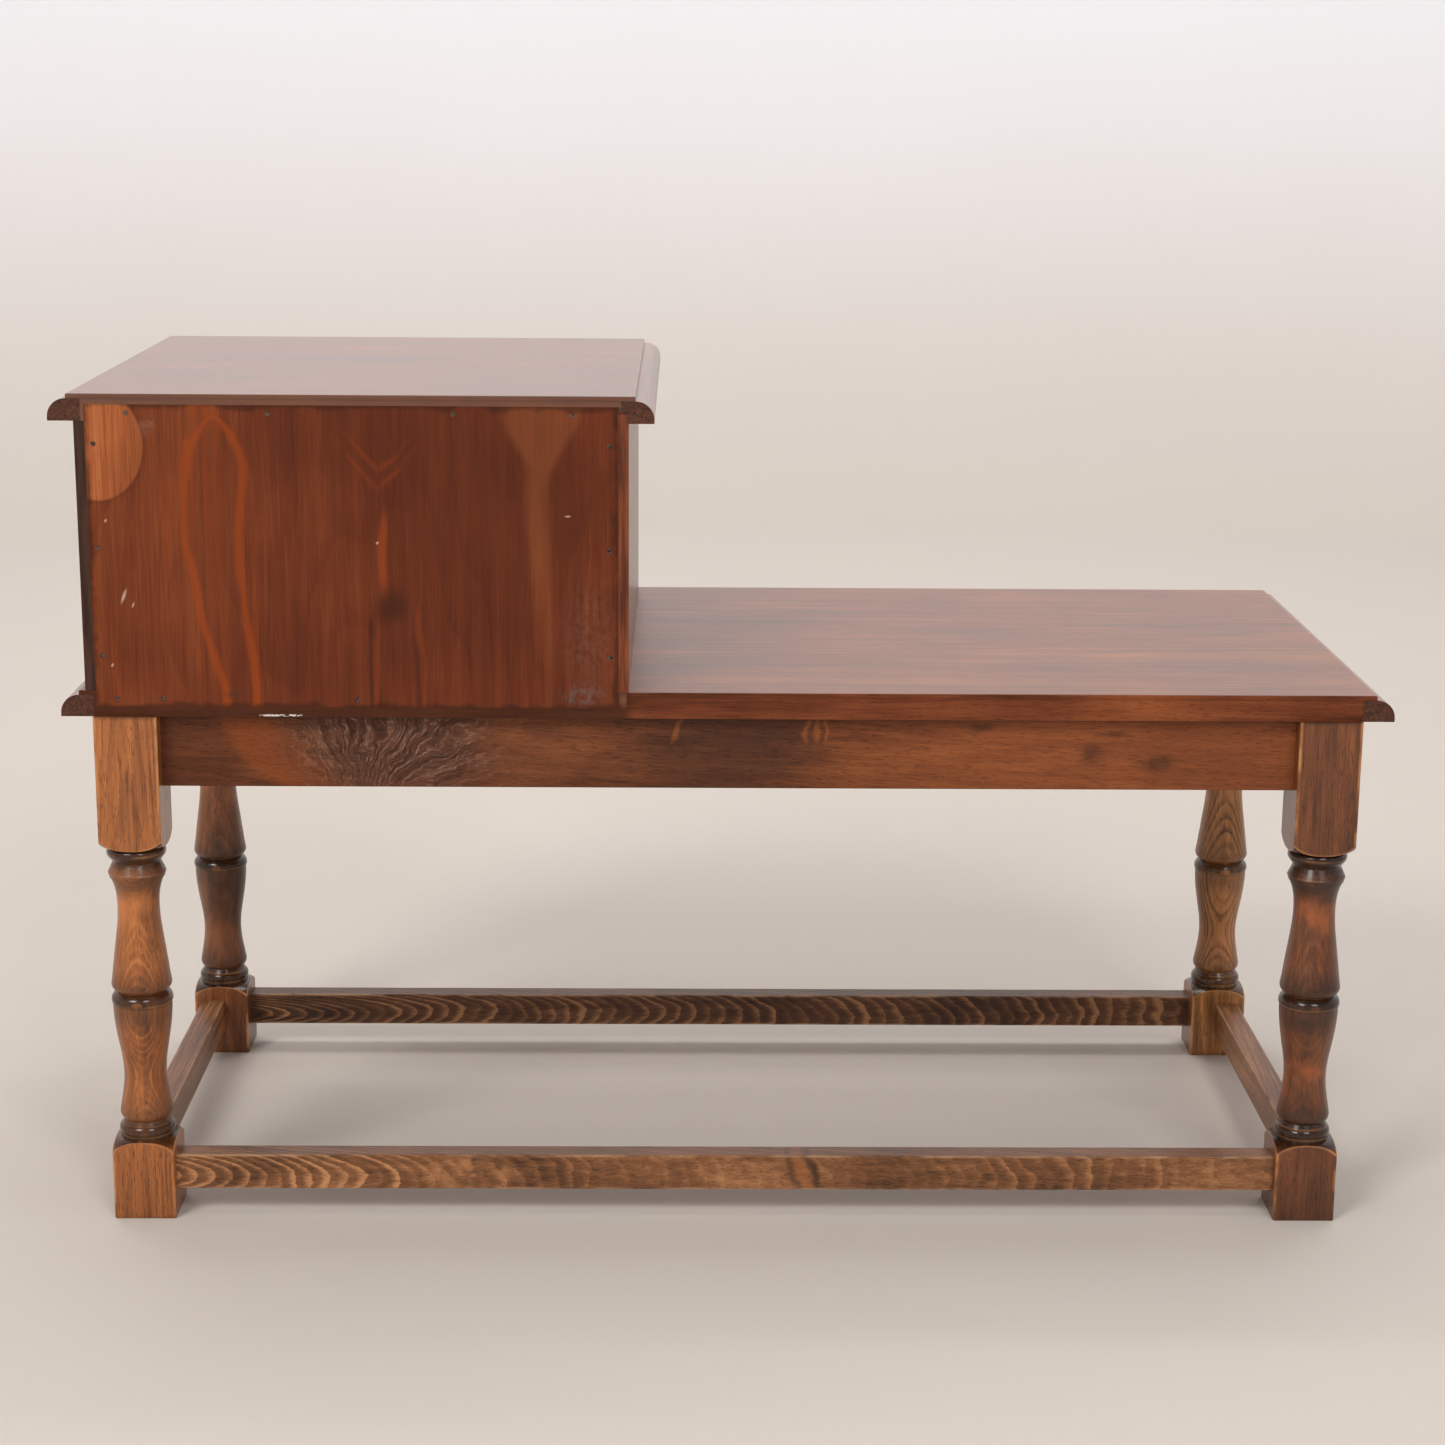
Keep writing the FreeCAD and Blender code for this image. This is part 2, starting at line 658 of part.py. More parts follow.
def moulding_stick(start, outward, along, length):
    """Stick of the applied frame: flat on the inside edge and sloping to the outside edge."""
    front = V(0, -1, 0)

    def at(across, height):
        return start + outward * across + front * height

    corners = [at(0, 0), at(frame_width, 0), at(frame_width, frame_height * 0.3),
               at(frame_flat + 1.5, frame_height), at(1.5, frame_height), at(0, frame_height * 0.6)]
    face = Part.Face(Part.makePolygon(corners + corners[:1]))
    return face.extrude(along * length)


def drawer_frame():
    """Four mitred sticks round the drawer front: two level ones and two upright ones."""
    left = drawer_left + frame_inset
    right = drawer_right - frame_inset
    bottom = drawer_front_bottom + frame_inset
    top = drawer_front_top - frame_inset
    depth = (drawer_front_y - frame_height - 1, drawer_front_y)

    def mask(points):
        outline = [V(x, depth[0], z) for x, z in points]
        face = Part.Face(Part.makePolygon(outline + outline[:1]))
        return face.extrude(V(0, depth[1] - depth[0], 0))

    w = frame_width
    level, upright = [], []
    for z, sign in ((bottom, 1), (top, -1)):
        start = V(left, drawer_front_y, z + sign * w)
        stick = moulding_stick(start, V(0, 0, -sign), V(1, 0, 0), right - left)
        level.append(stick.common(mask([(left, z), (right, z), (right - w, z + sign * w),
                                        (left + w, z + sign * w)])))
    for x, sign in ((left, 1), (right, -1)):
        start = V(x + sign * w, drawer_front_y, bottom)
        stick = moulding_stick(start, V(-sign, 0, 0), V(0, 0, 1), top - bottom)
        upright.append(stick.common(mask([(x, bottom), (x, top), (x + sign * w, top - w),
                                          (x + sign * w, bottom + w)])))
    return level, upright


def build_drawer():
    front = box((drawer_left, drawer_right), (drawer_front_y, drawer_front_back_y),
                (drawer_front_bottom, drawer_front_top))
    front = front.makeFillet(drawer_edge_radius, edges_on(front.Edges, "y", drawer_front_y))
    side_ends = [box(x_range, (drawer_front_y + drawer_front_lap, drawer_front_back_y),
                     (drawer_front_bottom, drawer_side_top + joint_gap))
                 for x_range in ((drawer_left, drawer_left + drawer_side_thickness),
                                 (drawer_right - drawer_side_thickness, drawer_right))]
    save("drawer_front", cut(front, side_ends + [bottom_panel(joint_gap)] + shank_holes()))

    side = box((drawer_left, drawer_left + drawer_side_thickness),
               (drawer_front_y + drawer_front_lap, drawer_rear_y), (drawer_side_bottom, drawer_side_top))
    side = cut(side, [bottom_panel(joint_gap), back_board(joint_gap)])
    save("drawer_side_left", side)
    save("drawer_side_right", side.mirror(V(cabinet_mid, 0, 0), V(1, 0, 0)))
    save("drawer_back", back_board(0))
    save("drawer_bottom", bottom_panel(0))

    level, upright = drawer_frame()
    save("drawer_frame_level", level)
    save("drawer_frame_upright", upright)


# ---------------------------------------------------------------- drop pulls
def turned_forward(outline, x, y):
    """Turned piece whose axis points out of the drawer front, at one pull."""
    piece = outline.solid()
    piece.rotate(V(0, 0, 0), V(1, 0, 0), 90)
    piece.translate(V(x, y, pull_z))
    return piece


def pull_plate(x):
    """Round brass plate with a low dome and a stepped rim."""
    pen = Outline(pull_plate_radius, 0)
    pen.line(pull_plate_radius, pull_plate_thickness * 0.7)
    pen.line(pull_plate_radius * 0.92, pull_plate_thickness * 0.3)
    pen.line(pull_plate_radius * 0.62)
    pen.arc(pull_plate_radius * 0.50, pull_plate_dome * 0.75, fork_radius, pull_plate_dome)
    plate = turned_forward(pen, x, drawer_front_y)
    shank = cylinder(shank_radius, V(x, drawer_front_y + 1, pull_z), V(0, -1, 0), 10)
    return cut(plate, [shank])


def pull_stud(x):
    """Stud with a forked head in front of the plate and a shank through the drawer front."""
    plate_front = drawer_front_y - pull_plate_thickness - pull_plate_dome
    fork_tip = pull_pin_y - fork_nose
    head = cylinder(fork_radius, V(x, plate_front, pull_z), V(0, -1, 0), plate_front - fork_tip)
    shank_end = drawer_front_back_y + nut_height + 1.5
    shank = cylinder(shank_radius, V(x, plate_front, pull_z), V(0, 1, 0), shank_end - plate_front)
    slot = box((x - fork_slot / 2, x + fork_slot / 2), (fork_tip - 1, pull_pin_y + fork_slot_back),
               (pull_z - 2 * fork_radius, pull_z + 2 * fork_radius))
    tip = [e for e in head.Edges if near(e.BoundBox.YMax, fork_tip)]
    head = head.makeFillet(1.0, tip)
    return cut(head.fuse(shank), [slot, pull_pin(x)])


def pull_pin(x):
    return cylinder(pin_radius, V(x - fork_radius, pull_pin_y, pull_z), V(1, 0, 0), 2 * fork_radius)


def pull_nut(x):
    """Hexagonal nut inside the drawer."""
    corners = [V(x + nut_radius * math.cos(k * math.pi / 3), drawer_front_back_y,
                 pull_z + nut_radius * math.sin(k * math.pi / 3)) for k in range(6)]
    nut = Part.Face(Part.makePolygon(corners + corners[:1])).extrude(V(0, nut_height, 0))
    return cut(nut, [cylinder(shank_radius, V(x, drawer_front_back_y, pull_z), V(0, 1, 0), nut_height)])


def pull_drop(x):
    """Pear-shaped drop that hangs from its eye."""
    pen = Outline(1.0, -drop_length)
    pen.arc(2.0, 1.0, 1.2, 2.4)
    pen.arc(drop_radius, 7.5, 2.6, 0.56 * drop_length)
    pen.line(3.0, 0.4)
    pen.line(3.0, 1.2)
    pen.line(drop_neck_radius, 1.0)
    pen.line(drop_neck_radius, -pen.at.z - drop_eye_radius + 0.6)
    drop = pen.solid()
    eye = cylinder(drop_eye_radius, V(-drop_eye_thickness / 2, 0, 0), V(1, 0, 0), drop_eye_thickness)
    hole = cylinder(pin_radius + pin_clearance, V(-fork_radius, 0, 0), V(1, 0, 0), 2 * fork_radius)
    drop = cut(drop.fuse(eye), [hole])
    drop.translate(V(x, pull_pin_y, pull_z))
    return drop


def build_pulls():
    save("pull_plates", [pull_plate(x) for x in pull_places])
    save("pull_studs", [pull_stud(x) for x in pull_places])
    save("pull_nuts", [pull_nut(x) for x in pull_places])
    save("pull_pins", [pull_pin(x) for x in pull_places])
    for name, x in zip(("left", "right"), pull_places):
        save("pull_drop_" + name, pull_drop(x))


os.makedirs("parts", exist_ok=True)
build_legs()
build_rails()
save("glue_blocks", glue_blocks())
save("seat_screws", seat_screws())
build_boards()
build_cabinet()
build_drawer()
build_pulls()
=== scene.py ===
# %% [markdown]
# # An entryway bench, seen from its plain back
# The bench stands on four turned legs. A seat board with moulded edges lies on them, and a small
# cabinet with a drawer stands on one end of the seat. The design frame already holds every piece at its
# true size and with its edges eased, so this lesson is about light and wood: how grain, stain, glaze
# and wear are built in layers.

# %% Load the frame
import math

import bmesh
import bpy
from mathutils import Euler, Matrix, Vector


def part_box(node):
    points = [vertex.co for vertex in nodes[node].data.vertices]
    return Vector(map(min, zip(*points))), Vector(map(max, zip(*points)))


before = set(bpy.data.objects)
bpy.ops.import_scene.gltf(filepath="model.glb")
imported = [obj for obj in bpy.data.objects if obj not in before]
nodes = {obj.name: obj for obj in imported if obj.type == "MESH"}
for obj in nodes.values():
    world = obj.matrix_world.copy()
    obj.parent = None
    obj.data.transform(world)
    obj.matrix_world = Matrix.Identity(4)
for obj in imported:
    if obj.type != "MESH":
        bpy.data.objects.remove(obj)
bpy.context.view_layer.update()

# %% [markdown]
# ## Where the eye stands
# The camera looks at the back of the bench from a little above the seat, as a person does who crouches
# to see how a piece is made. A lens of about 70 mm from two metres keeps the legs nearly upright.

# %% Camera
CAMERA_PLACE = (0.0304, 2.0457, 0.8011)
CAMERA_TURN = (76.579, -0.425, 179.317)
LENS_MM = 69.88
SENSOR_MM = 36.0

camera_data = bpy.data.cameras.new("camera")
camera_data.lens = LENS_MM
camera_data.sensor_width = SENSOR_MM
camera = bpy.data.objects.new("camera", camera_data)
camera.location = CAMERA_PLACE
camera.rotation_euler = [math.radians(angle) for angle in CAMERA_TURN]
bpy.context.scene.collection.objects.link(camera)
bpy.context.scene.camera = camera
print("camera at", CAMERA_PLACE, "lens", LENS_MM)

# %% [markdown]
# ## Floor and backdrop
# The studio is a bowl: a flat round floor that curves up into a wall all the way round. The curve hides
# the horizon from every side, so nothing but the bench has an edge. It could be a bent sheet, but a
# sheet ends somewhere. So a short profile is spun about an upright line.

# %% Studio bowl
BOWL_CENTRE = (0.0, 1.0)
BOWL_RADIUS = 4.9
BOWL_CURVE = 1.1
BOWL_HEIGHT = 4.2
BOWL_CURVE_STEPS = 24
BOWL_ROUND_STEPS = 96
FLOOR_EYE = 0.01
FLOOR_RING = 2.0
MERGE_REACH = 0.0001


def bowl_profile():
    """Distance from the middle and height, from just off the middle of the floor to the top of the wall."""
    points = [(FLOOR_EYE, 0.0), (FLOOR_RING, 0.0)]
    for step in range(BOWL_CURVE_STEPS + 1):
        angle = math.radians(90.0) * step / BOWL_CURVE_STEPS
        away = BOWL_RADIUS - BOWL_CURVE * (1 - math.sin(angle))
        points.append((away, BOWL_CURVE * (1 - math.cos(angle))))
    return points + [(BOWL_RADIUS, BOWL_HEIGHT)]


def build_bowl():
    """Spin the profile once round, and close the small eye that is left in the floor."""
    x, y = BOWL_CENTRE
    bm = bmesh.new()
    row = [bm.verts.new((x + away, y, height)) for away, height in bowl_profile()]
    edges = [bm.edges.new(pair) for pair in zip(row, row[1:])]
    bmesh.ops.spin(bm, geom=row + edges, cent=(x, y, 0.0), axis=(0, 0, 1), angle=2 * math.pi,
                   steps=BOWL_ROUND_STEPS, use_merge=True)
    bmesh.ops.remove_doubles(bm, verts=bm.verts, dist=MERGE_REACH)
    eye = [edge for edge in bm.edges if edge.is_boundary and edge.verts[0].co.z < BOWL_HEIGHT / 2]
    bmesh.ops.holes_fill(bm, edges=eye)
    bmesh.ops.recalc_face_normals(bm, faces=bm.faces)
    bmesh.ops.reverse_faces(bm, faces=bm.faces)
    mesh = bpy.data.meshes.new("studio_bowl")
    bm.to_mesh(mesh)
    bm.free()
    mesh.shade_smooth()
    bowl = bpy.data.objects.new("studio_bowl", mesh)
    bpy.context.scene.collection.objects.link(bowl)
    return bowl


bowl = build_bowl()
print("bowl faces", len(bowl.data.polygons))

# %% [markdown]
# ## Light
# Two high windows behind the viewer light the back of the bench and put a pair of small highlights on
# every turned bead. They hang high, so that from the front their mirror image misses the lacquered
# boards. A wide box above lights the boards and the floor, and a long strip washes the wall, which the
# boards mirror. A low card lifts the shade under the seat, where the high windows do not reach. It only
# fills, so neither the camera nor a glossy face sees it. The room is kept dim: a bright room would lie
# on the stained faces as a grey veil.

# %% Lights
BENCH_MIDDLE = Vector((0.0, 0.0, 0.3))
WALL_MIDDLE = Vector((0.0, -4.2, 0.9))
DAYLIGHT = (1.0, 0.98, 0.96)
COOL_DAYLIGHT = (0.98, 0.99, 1.0)
LAMPLIGHT = (1.0, 0.99, 0.98)
CARD_LIGHT = (1.0, 0.97, 0.93)
ROOM_COLOUR = (0.93, 0.92, 0.92, 1.0)
ROOM_STRENGTH = 0.12


def soft_light(name, place, size, power, tint, target=BENCH_MIDDLE):
    """A rectangular light of so many watts that faces the bench, or another target."""
    data = bpy.data.lights.new(name, "AREA")
    data.shape = "RECTANGLE"
    data.size, data.size_y = size
    data.energy = power
    data.color = tint
    lamp = bpy.data.objects.new(name, data)
    lamp.location = place
    lamp.rotation_euler = (target - Vector(place)).to_track_quat("-Z", "Y").to_euler()
    bpy.context.scene.collection.objects.link(lamp)
    return lamp


soft_light("left_window", (2.3, 3.1, 3.4), (1.4, 1.6), 98.0, DAYLIGHT)
soft_light("right_window", (-1.2, 3.4, 3.4), (1.2, 1.5), 51.0, COOL_DAYLIGHT)
soft_light("ceiling_box", (0.0, -0.7, 3.6), (4.0, 3.0), 68.0, LAMPLIGHT)
soft_light("wall_wash", (0.0, -1.6, 3.9), (4.0, 0.8), 50.0, LAMPLIGHT, WALL_MIDDLE)
low_card = soft_light("low_card", (0.4, 3.4, 0.7), (2.6, 0.8), 24.0, CARD_LIGHT)
low_card.visible_camera = False
low_card.visible_glossy = False

world = bpy.data.worlds.new("studio")
bpy.context.scene.world = world
world.use_nodes = True
room = world.node_tree.nodes["Background"]
room.inputs["Color"].default_value = ROOM_COLOUR
room.inputs["Strength"].default_value = ROOM_STRENGTH
bpy.context.scene.view_settings.view_transform = "Standard"
print("lights", [light.name for light in bpy.data.lights])

# %% [markdown]
# ## A bench for mixing finishes
# A material is a graph of nodes. Writing each node out by hand hides the idea, so a small class adds a
# node in one call, and short functions name the few operations a finisher needs. Every pattern reads
# Object coordinates in metres, so grain has its true size on each piece and stays with it when the
# drawer slides.

# %% Finish class
class Finish:
    """A material in the making: its node tree, its shader, and the place of each point in metres."""

    def __init__(self, name):
        self.material = bpy.data.materials.new(name)
        self.material.use_nodes = True
        self.tree = self.material.node_tree
        self.shader = self.tree.nodes["Principled BSDF"]
        self.place = self.add("ShaderNodeTexCoord").outputs["Object"]
        self.x, self.y, self.z = axes(self, self.place)

    def add(self, kind, **settings):
        """Add one node and set its properties."""
        node = self.tree.nodes.new(kind)
        for key, value in settings.items():
            setattr(node, key, value)
        return node

    def plug(self, socket, value):
        """Link an output to an input, or set a plain value on it."""
        if isinstance(value, bpy.types.NodeSocket):
            self.tree.links.new(value, socket)
        else:
            socket.default_value = value


def axes(f, vector):
    """A vector taken apart into three values."""
    node = f.add("ShaderNodeSeparateXYZ")
    f.plug(node.inputs["Vector"], vector)
    return node.outputs["X"], node.outputs["Y"], node.outputs["Z"]


def joined(f, x, y, z):
    """Three values put together as a vector."""
    node = f.add("ShaderNodeCombineXYZ")
    for socket, value in zip(node.inputs, (x, y, z)):
        f.plug(socket, value)
    return node.outputs["Vector"]


# %% [markdown]
# A mask is a value from 0 to 1 that says where something happens. Masks come from plain sums on the
# place of a point, and a smooth change at their rims keeps them from looking cut out. Multiplied masks
# keep what they share, and the larger of two masks joins them.

# %% Arithmetic and masks
def calc(f, operation, first, second=0.0, third=0.0):
    """One sum on up to three values."""
    node = f.add("ShaderNodeMath", operation=operation)
    for socket, value in zip(node.inputs, (first, second, third)):
        f.plug(socket, value)
    return node.outputs["Value"]


def total(f, *terms):
    """Sum of pairs of value and weight."""
    result = 0.0
    for value, weight in terms:
        result = calc(f, "MULTIPLY_ADD", value, weight, result)
    return result


def fade(f, value, low, high):
    """0 at low and 1 at high, with a smooth change between. Low may be above high."""
    node = f.add("ShaderNodeMapRange", interpolation_type="SMOOTHSTEP")
    for socket, number in zip(node.inputs, (value, low, high)):
        f.plug(socket, number)
    return node.outputs["Result"]


def both(f, *masks):
    """Where all of the masks agree: their product."""
    result = masks[0]
    for mask in masks[1:]:
        result = calc(f, "MULTIPLY", result, mask)
    return result


def band(f, value, low, high, soft):
    """1 between low and high, 0 outside, soft at both ends."""
    return both(f, fade(f, value, low - soft, low + soft), fade(f, value, high + soft, high - soft))


def length(f, first, second):
    """Straight distance whose two legs are given."""
    squares = (calc(f, "MULTIPLY", first, first), 1.0), (calc(f, "MULTIPLY", second, second), 1.0)
    return calc(f, "SQRT", total(f, *squares))


def gap(f, value, place):
    """How far a value is from a place, without a sign."""
    return calc(f, "ABSOLUTE", calc(f, "SUBTRACT", value, place))


def inverse(f, mask):
    return calc(f, "SUBTRACT", 1.0, mask)


def spot(f, across, along, centre, radii, soft=0.25):
    """An oval mask round a centre, whose rim is soft over that share of its radius."""
    u = calc(f, "DIVIDE", calc(f, "SUBTRACT", across, centre[0]), radii[0])
    v = calc(f, "DIVIDE", calc(f, "SUBTRACT", along, centre[1]), radii[1])
    return fade(f, length(f, u, v), 1.0 + soft, 1.0 - soft)


# %% [markdown]
# Noise is the raw stuff of wood. Stretched along one axis it is fibre, and squeezed evenly it is
# blotch. Its values crowd round the middle, so they are spread before use. Colours are written as on a
# paint chart and turned to linear light here, because the shader adds up light and not display values.

# %% Noise and colour
NOISE_LOW = 0.28
NOISE_HIGH = 0.72


def noise(f, vector, scale, detail=2.0, roughness=0.5):
    """Noise from 0 to 1 with its middle at 0.5; scale gives the waves per metre along each axis."""
    stretch = f.add("ShaderNodeVectorMath", operation="MULTIPLY")
    f.plug(stretch.inputs[0], vector)
    stretch.inputs[1].default_value = scale
    node = f.add("ShaderNodeTexNoise")
    f.plug(node.inputs["Vector"], stretch.outputs["Vector"])
    node.inputs["Scale"].default_value = 1.0
    node.inputs["Detail"].default_value = detail
    node.inputs["Roughness"].default_value = roughness
    spread = f.add("ShaderNodeMapRange")
    f.plug(spread.inputs["Value"], node.outputs["Fac"])
    spread.inputs["From Min"].default_value = NOISE_LOW
    spread.inputs["From Max"].default_value = NOISE_HIGH
    return spread.outputs["Result"]


def linear(value):
    """One display value from 0 to 255 as linear light."""
    v = value / 255
    return v / 12.92 if v <= 0.04045 else ((v + 0.055) / 1.055) ** 2.4


def shade(colour, strength=1.0):
    """A colour as on a paint chart, 0 to 255, as linear red, green, blue and alpha."""
    return tuple(linear(value) * strength for value in colour) + (1.0,)


def ramp(f, value, stops):
    """A colour picked by a value, from stops of value and colour."""
    node = f.add("ShaderNodeValToRGB")
    f.plug(node.inputs["Fac"], value)
    elements = node.color_ramp.elements
    while len(elements) < len(stops):
        elements.new(0.5)
    for element, (where, colour) in zip(elements, stops):
        element.position = where
        element.color = colour
    return node.outputs["Color"]


def layer(f, amount, under, over, mode="MIX"):
    """One colour laid over another, as far as a mask lets it."""
    node = f.add("ShaderNodeMix", data_type="RGBA", blend_type=mode)
    colours = [socket for socket in node.inputs if socket.type == "RGBA"]
    f.plug(node.inputs["Factor"], amount)
    f.plug(colours[0], under)
    f.plug(colours[1], over)
    return [socket for socket in node.outputs if socket.type == "RGBA"][0]


# %% [markdown]
# Every finish ends the same way: colour, gloss and relief go to the shader. A clear coat over them
# stands for lacquer or wax. What is even all over is set on the shader's own socket, and only what
# changes is linked.

# %% Closing a finish
def close(f, colour, roughness, height=None, depth=0.0002, coat=0.0, coat_roughness=0.2, specular=0.5):
    """Connect colour, gloss and relief to the shader, and return the material."""
    f.plug(f.shader.inputs["Base Color"], colour)
    f.plug(f.shader.inputs["Roughness"], roughness)
    f.plug(f.shader.inputs["Coat Weight"], coat)
    f.shader.inputs["Coat Roughness"].default_value = coat_roughness
    f.shader.inputs["Specular IOR Level"].default_value = specular
    if height is not None:
        node = f.add("ShaderNodeBump")
        f.plug(node.inputs["Height"], height)
        node.inputs["Distance"].default_value = depth
        node.inputs["Strength"].default_value = 1.0
        f.plug(f.shader.inputs["Normal"], node.outputs["Normal"])
    return f.material


def dress(name, material):
    """Give a piece of the frame its finish."""
    nodes[name].data.materials.clear()
    nodes[name].data.materials.append(material)


# %% [markdown]
# The bowl gets the first and plainest finish, matt paper. Its floor is a little deeper than its wall,
# so that less light bounces up from below. The change follows the height and is bent by broad noise.

# %% Bowl finish
FLOOR_PALE = (206, 197, 188)
WALL_PALE = (236, 236, 240)


def bowl_finish():
    """Paper that grows paler from the floor to the top of the curve."""
    f = Finish("studio_bowl_paper")
    patches = noise(f, f.place, (1.3, 1.3, 1.3), 2.0)
    tooth = noise(f, f.place, (900.0, 900.0, 900.0), 1.0)
    rise = fade(f, total(f, (f.z, 1.0), (patches, 0.05)), 0.0, BOWL_CURVE)
    colour = layer(f, rise, shade(FLOOR_PALE), shade(WALL_PALE))
    return close(f, colour, 0.75, tooth, 0.00005, specular=0.2)


bowl.data.materials.append(bowl_finish())
print("bowl finish", bowl.data.materials[0].name)

# %% [markdown]
# ## How a board comes out of a tree
# Growth rings are nested cylinders round the heart of the tree. A board or a leg is cut somewhere
# beside the heart, so its pattern is the distance from a line in space, sliced by the surface. Nothing
# has to be drawn: where the line leans against the face, cathedral arches appear, and where a leg
# swells, closed loops do. So each piece gets a heart line: how far away it is, to which side, and how
# much it leans.

# %% Log space
GRAIN_TURN = {"x": (0, 0, 0), "y": (0, 0, -90), "z": (0, 90, 0)}


def log_space(f, node, grain, heart, lean=(0.0, 0.0)):
    """Coordinates with X along the tree and the heart on the X axis.

    Heart is the way from the heart to the middle of the piece, in metres, and lean is in degrees.
    """
    low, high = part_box(node)
    turn = Euler([math.radians(a) for a in GRAIN_TURN[grain]]).to_matrix()
    tilt = Euler((0.0, math.radians(lean[0]), math.radians(lean[1]))).to_matrix()
    whole = tilt @ turn
    mapping = f.add("ShaderNodeMapping")
    f.plug(mapping.inputs["Vector"], f.place)
    mapping.inputs["Rotation"].default_value = whole.to_euler()
    mapping.inputs["Location"].default_value = Vector((0.0, *heart)) - whole @ ((low + high) / 2)
    return mapping.outputs["Vector"]


def growth_rings(f, trunk, width, wander, seed):
    """Strength of the rings, from 0 to 1: it rises slowly through a year and drops at its end."""
    x, y, z = axes(f, trunk)
    distance = length(f, y, z)
    moved = joined(f, calc(f, "ADD", x, seed), y, z)
    bend = noise(f, moved, (3.0, 26.0, 26.0), 2.0, 0.45)
    tremble = noise(f, moved, (30.0, 75.0, 75.0), 3.0, 0.6)
    hair = noise(f, moved, (40.0, 700.0, 700.0), 1.0, 0.5)
    years = total(f, (distance, 1.0 / width), (bend, wander), (tremble, wander * 0.14), (hair, 0.10))
    season = calc(f, "FRACT", years)
    strength = f.add("ShaderNodeTexWhiteNoise", noise_dimensions="1D")
    f.plug(strength.inputs["W"], calc(f, "FLOOR", years))
    line = both(f, fade(f, season, 0.30, 0.90), fade(f, season, 1.0, 0.90))
    return both(f, line, total(f, (strength.outputs["Value"], 0.75), (1.0, 0.25)))


# %% [markdown]
# ## Stained wood
# Stain reads as wood because several scales agree: blotches as wide as a hand, the rings, streaks as
# wide as a straw, fibres as fine as hair, and short dark pores. Each is noise stretched along the
# grain. Together they make a tone that picks the colour, and the fibres and pores also make the relief
# and the gloss.

# %% Stain
MEAN_RING = 0.22
STREAK_SHARE = 0.22
FIBRE_SHARE = 0.16
DARK_TONE = 0.18
LIGHT_TONE = 0.82


def stained(f, node, grain, colours, heart=(0.11, 0.03), lean=(1.0, 1.5), ring=0.004, wander=1.6,
            seed=0.0, figure=0.30, mottle=0.30, pore=0.5, where=None):
    """Colour, relief and tone of stained wood. Colours run from dark to light.

    Figure is how strongly the rings show, dark above zero and light below it, and where is a mask that fades
    them on part of the piece.
    """
    trunk = log_space(f, node, grain, heart, lean)
    x, y, z = axes(f, trunk)
    moved = joined(f, calc(f, "ADD", x, seed * 1.7), calc(f, "ADD", y, seed), z)
    rings = growth_rings(f, trunk, ring, wander, seed)
    rings = calc(f, "SUBTRACT", rings, MEAN_RING)
    if where is not None:
        rings = calc(f, "MULTIPLY", rings, where)
    blotch = noise(f, moved, (7.0, 20.0, 20.0), 3.0, 0.55)
    streak = noise(f, moved, (5.0, 170.0, 170.0), 3.0, 0.6)
    fibre = noise(f, moved, (22.0, 850.0, 850.0), 2.0, 0.6)
    pores = fade(f, noise(f, moved, (130.0, 1300.0, 1300.0), 1.0, 0.5), 0.26, 0.10)
    centring = 0.5 - 0.5 * (mottle + STREAK_SHARE + FIBRE_SHARE)
    tone = total(f, (blotch, mottle), (streak, STREAK_SHARE), (fibre, FIBRE_SHARE), (rings, -figure),
                 (1.0, centring))
    dark, middle, light = colours
    colour = ramp(f, tone, [(DARK_TONE, shade(dark)), (0.5, shade(middle)), (LIGHT_TONE, shade(light))])
    colour = layer(f, both(f, pores, pore), colour, shade(dark, 0.7))
    relief = total(f, (fibre, 0.5), (pores, -0.8), (rings, -figure))
    return colour, relief, tone


def long_edge_wear(f, node, grain, reach, seed=0.0):
    """A broken line along the long edges of a squared piece, where hands and cloths thinned the finish."""
    low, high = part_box(node)
    middle, half = (low + high) / 2, (high - low) / 2
    gaps = []
    for index, (name, value) in enumerate(zip("xyz", (f.x, f.y, f.z))):
        if name != grain:
            gaps.append(calc(f, "SUBTRACT", half[index], gap(f, value, middle[index])))
    near = calc(f, "ADD", gaps[0], gaps[1])
    patchy = noise(f, f.place, (28.0 + seed, 28.0, 28.0), 3.0, 0.6)
    return both(f, fade(f, near, reach, reach * 0.25), fade(f, patchy, 0.2, 0.75))


# %% [markdown]
# ## Stretchers
# The four rails near the floor are plain beech under a thin brown stain, and their grain shows
# strongly. The long rear one was sawn across the curve of the trunk, so its rings cross the face as a
# row of arcs. That is only a heart line that leans against the rail by ten degrees or so.

# %% Stretcher finishes
BROWN_STAIN = ((60, 34, 18), (126, 82, 50), (182, 128, 86))
DARK_STAIN = ((38, 20, 11), (86, 54, 33), (146, 102, 68))
RAIL_WEAR = (186, 144, 108)
RAIL_WEAR_REACH = 0.0022
CURLY_WOOD = (184, 126, 84)
CURL_X = 0.187
KNOT_LEAN = 0.35
STRETCHER_KNOTS = ((-0.061, 0.75, (44, 24, 15)), (-0.047, 0.55, (52, 28, 17)), (-0.054, 0.5, (160, 92, 50)))


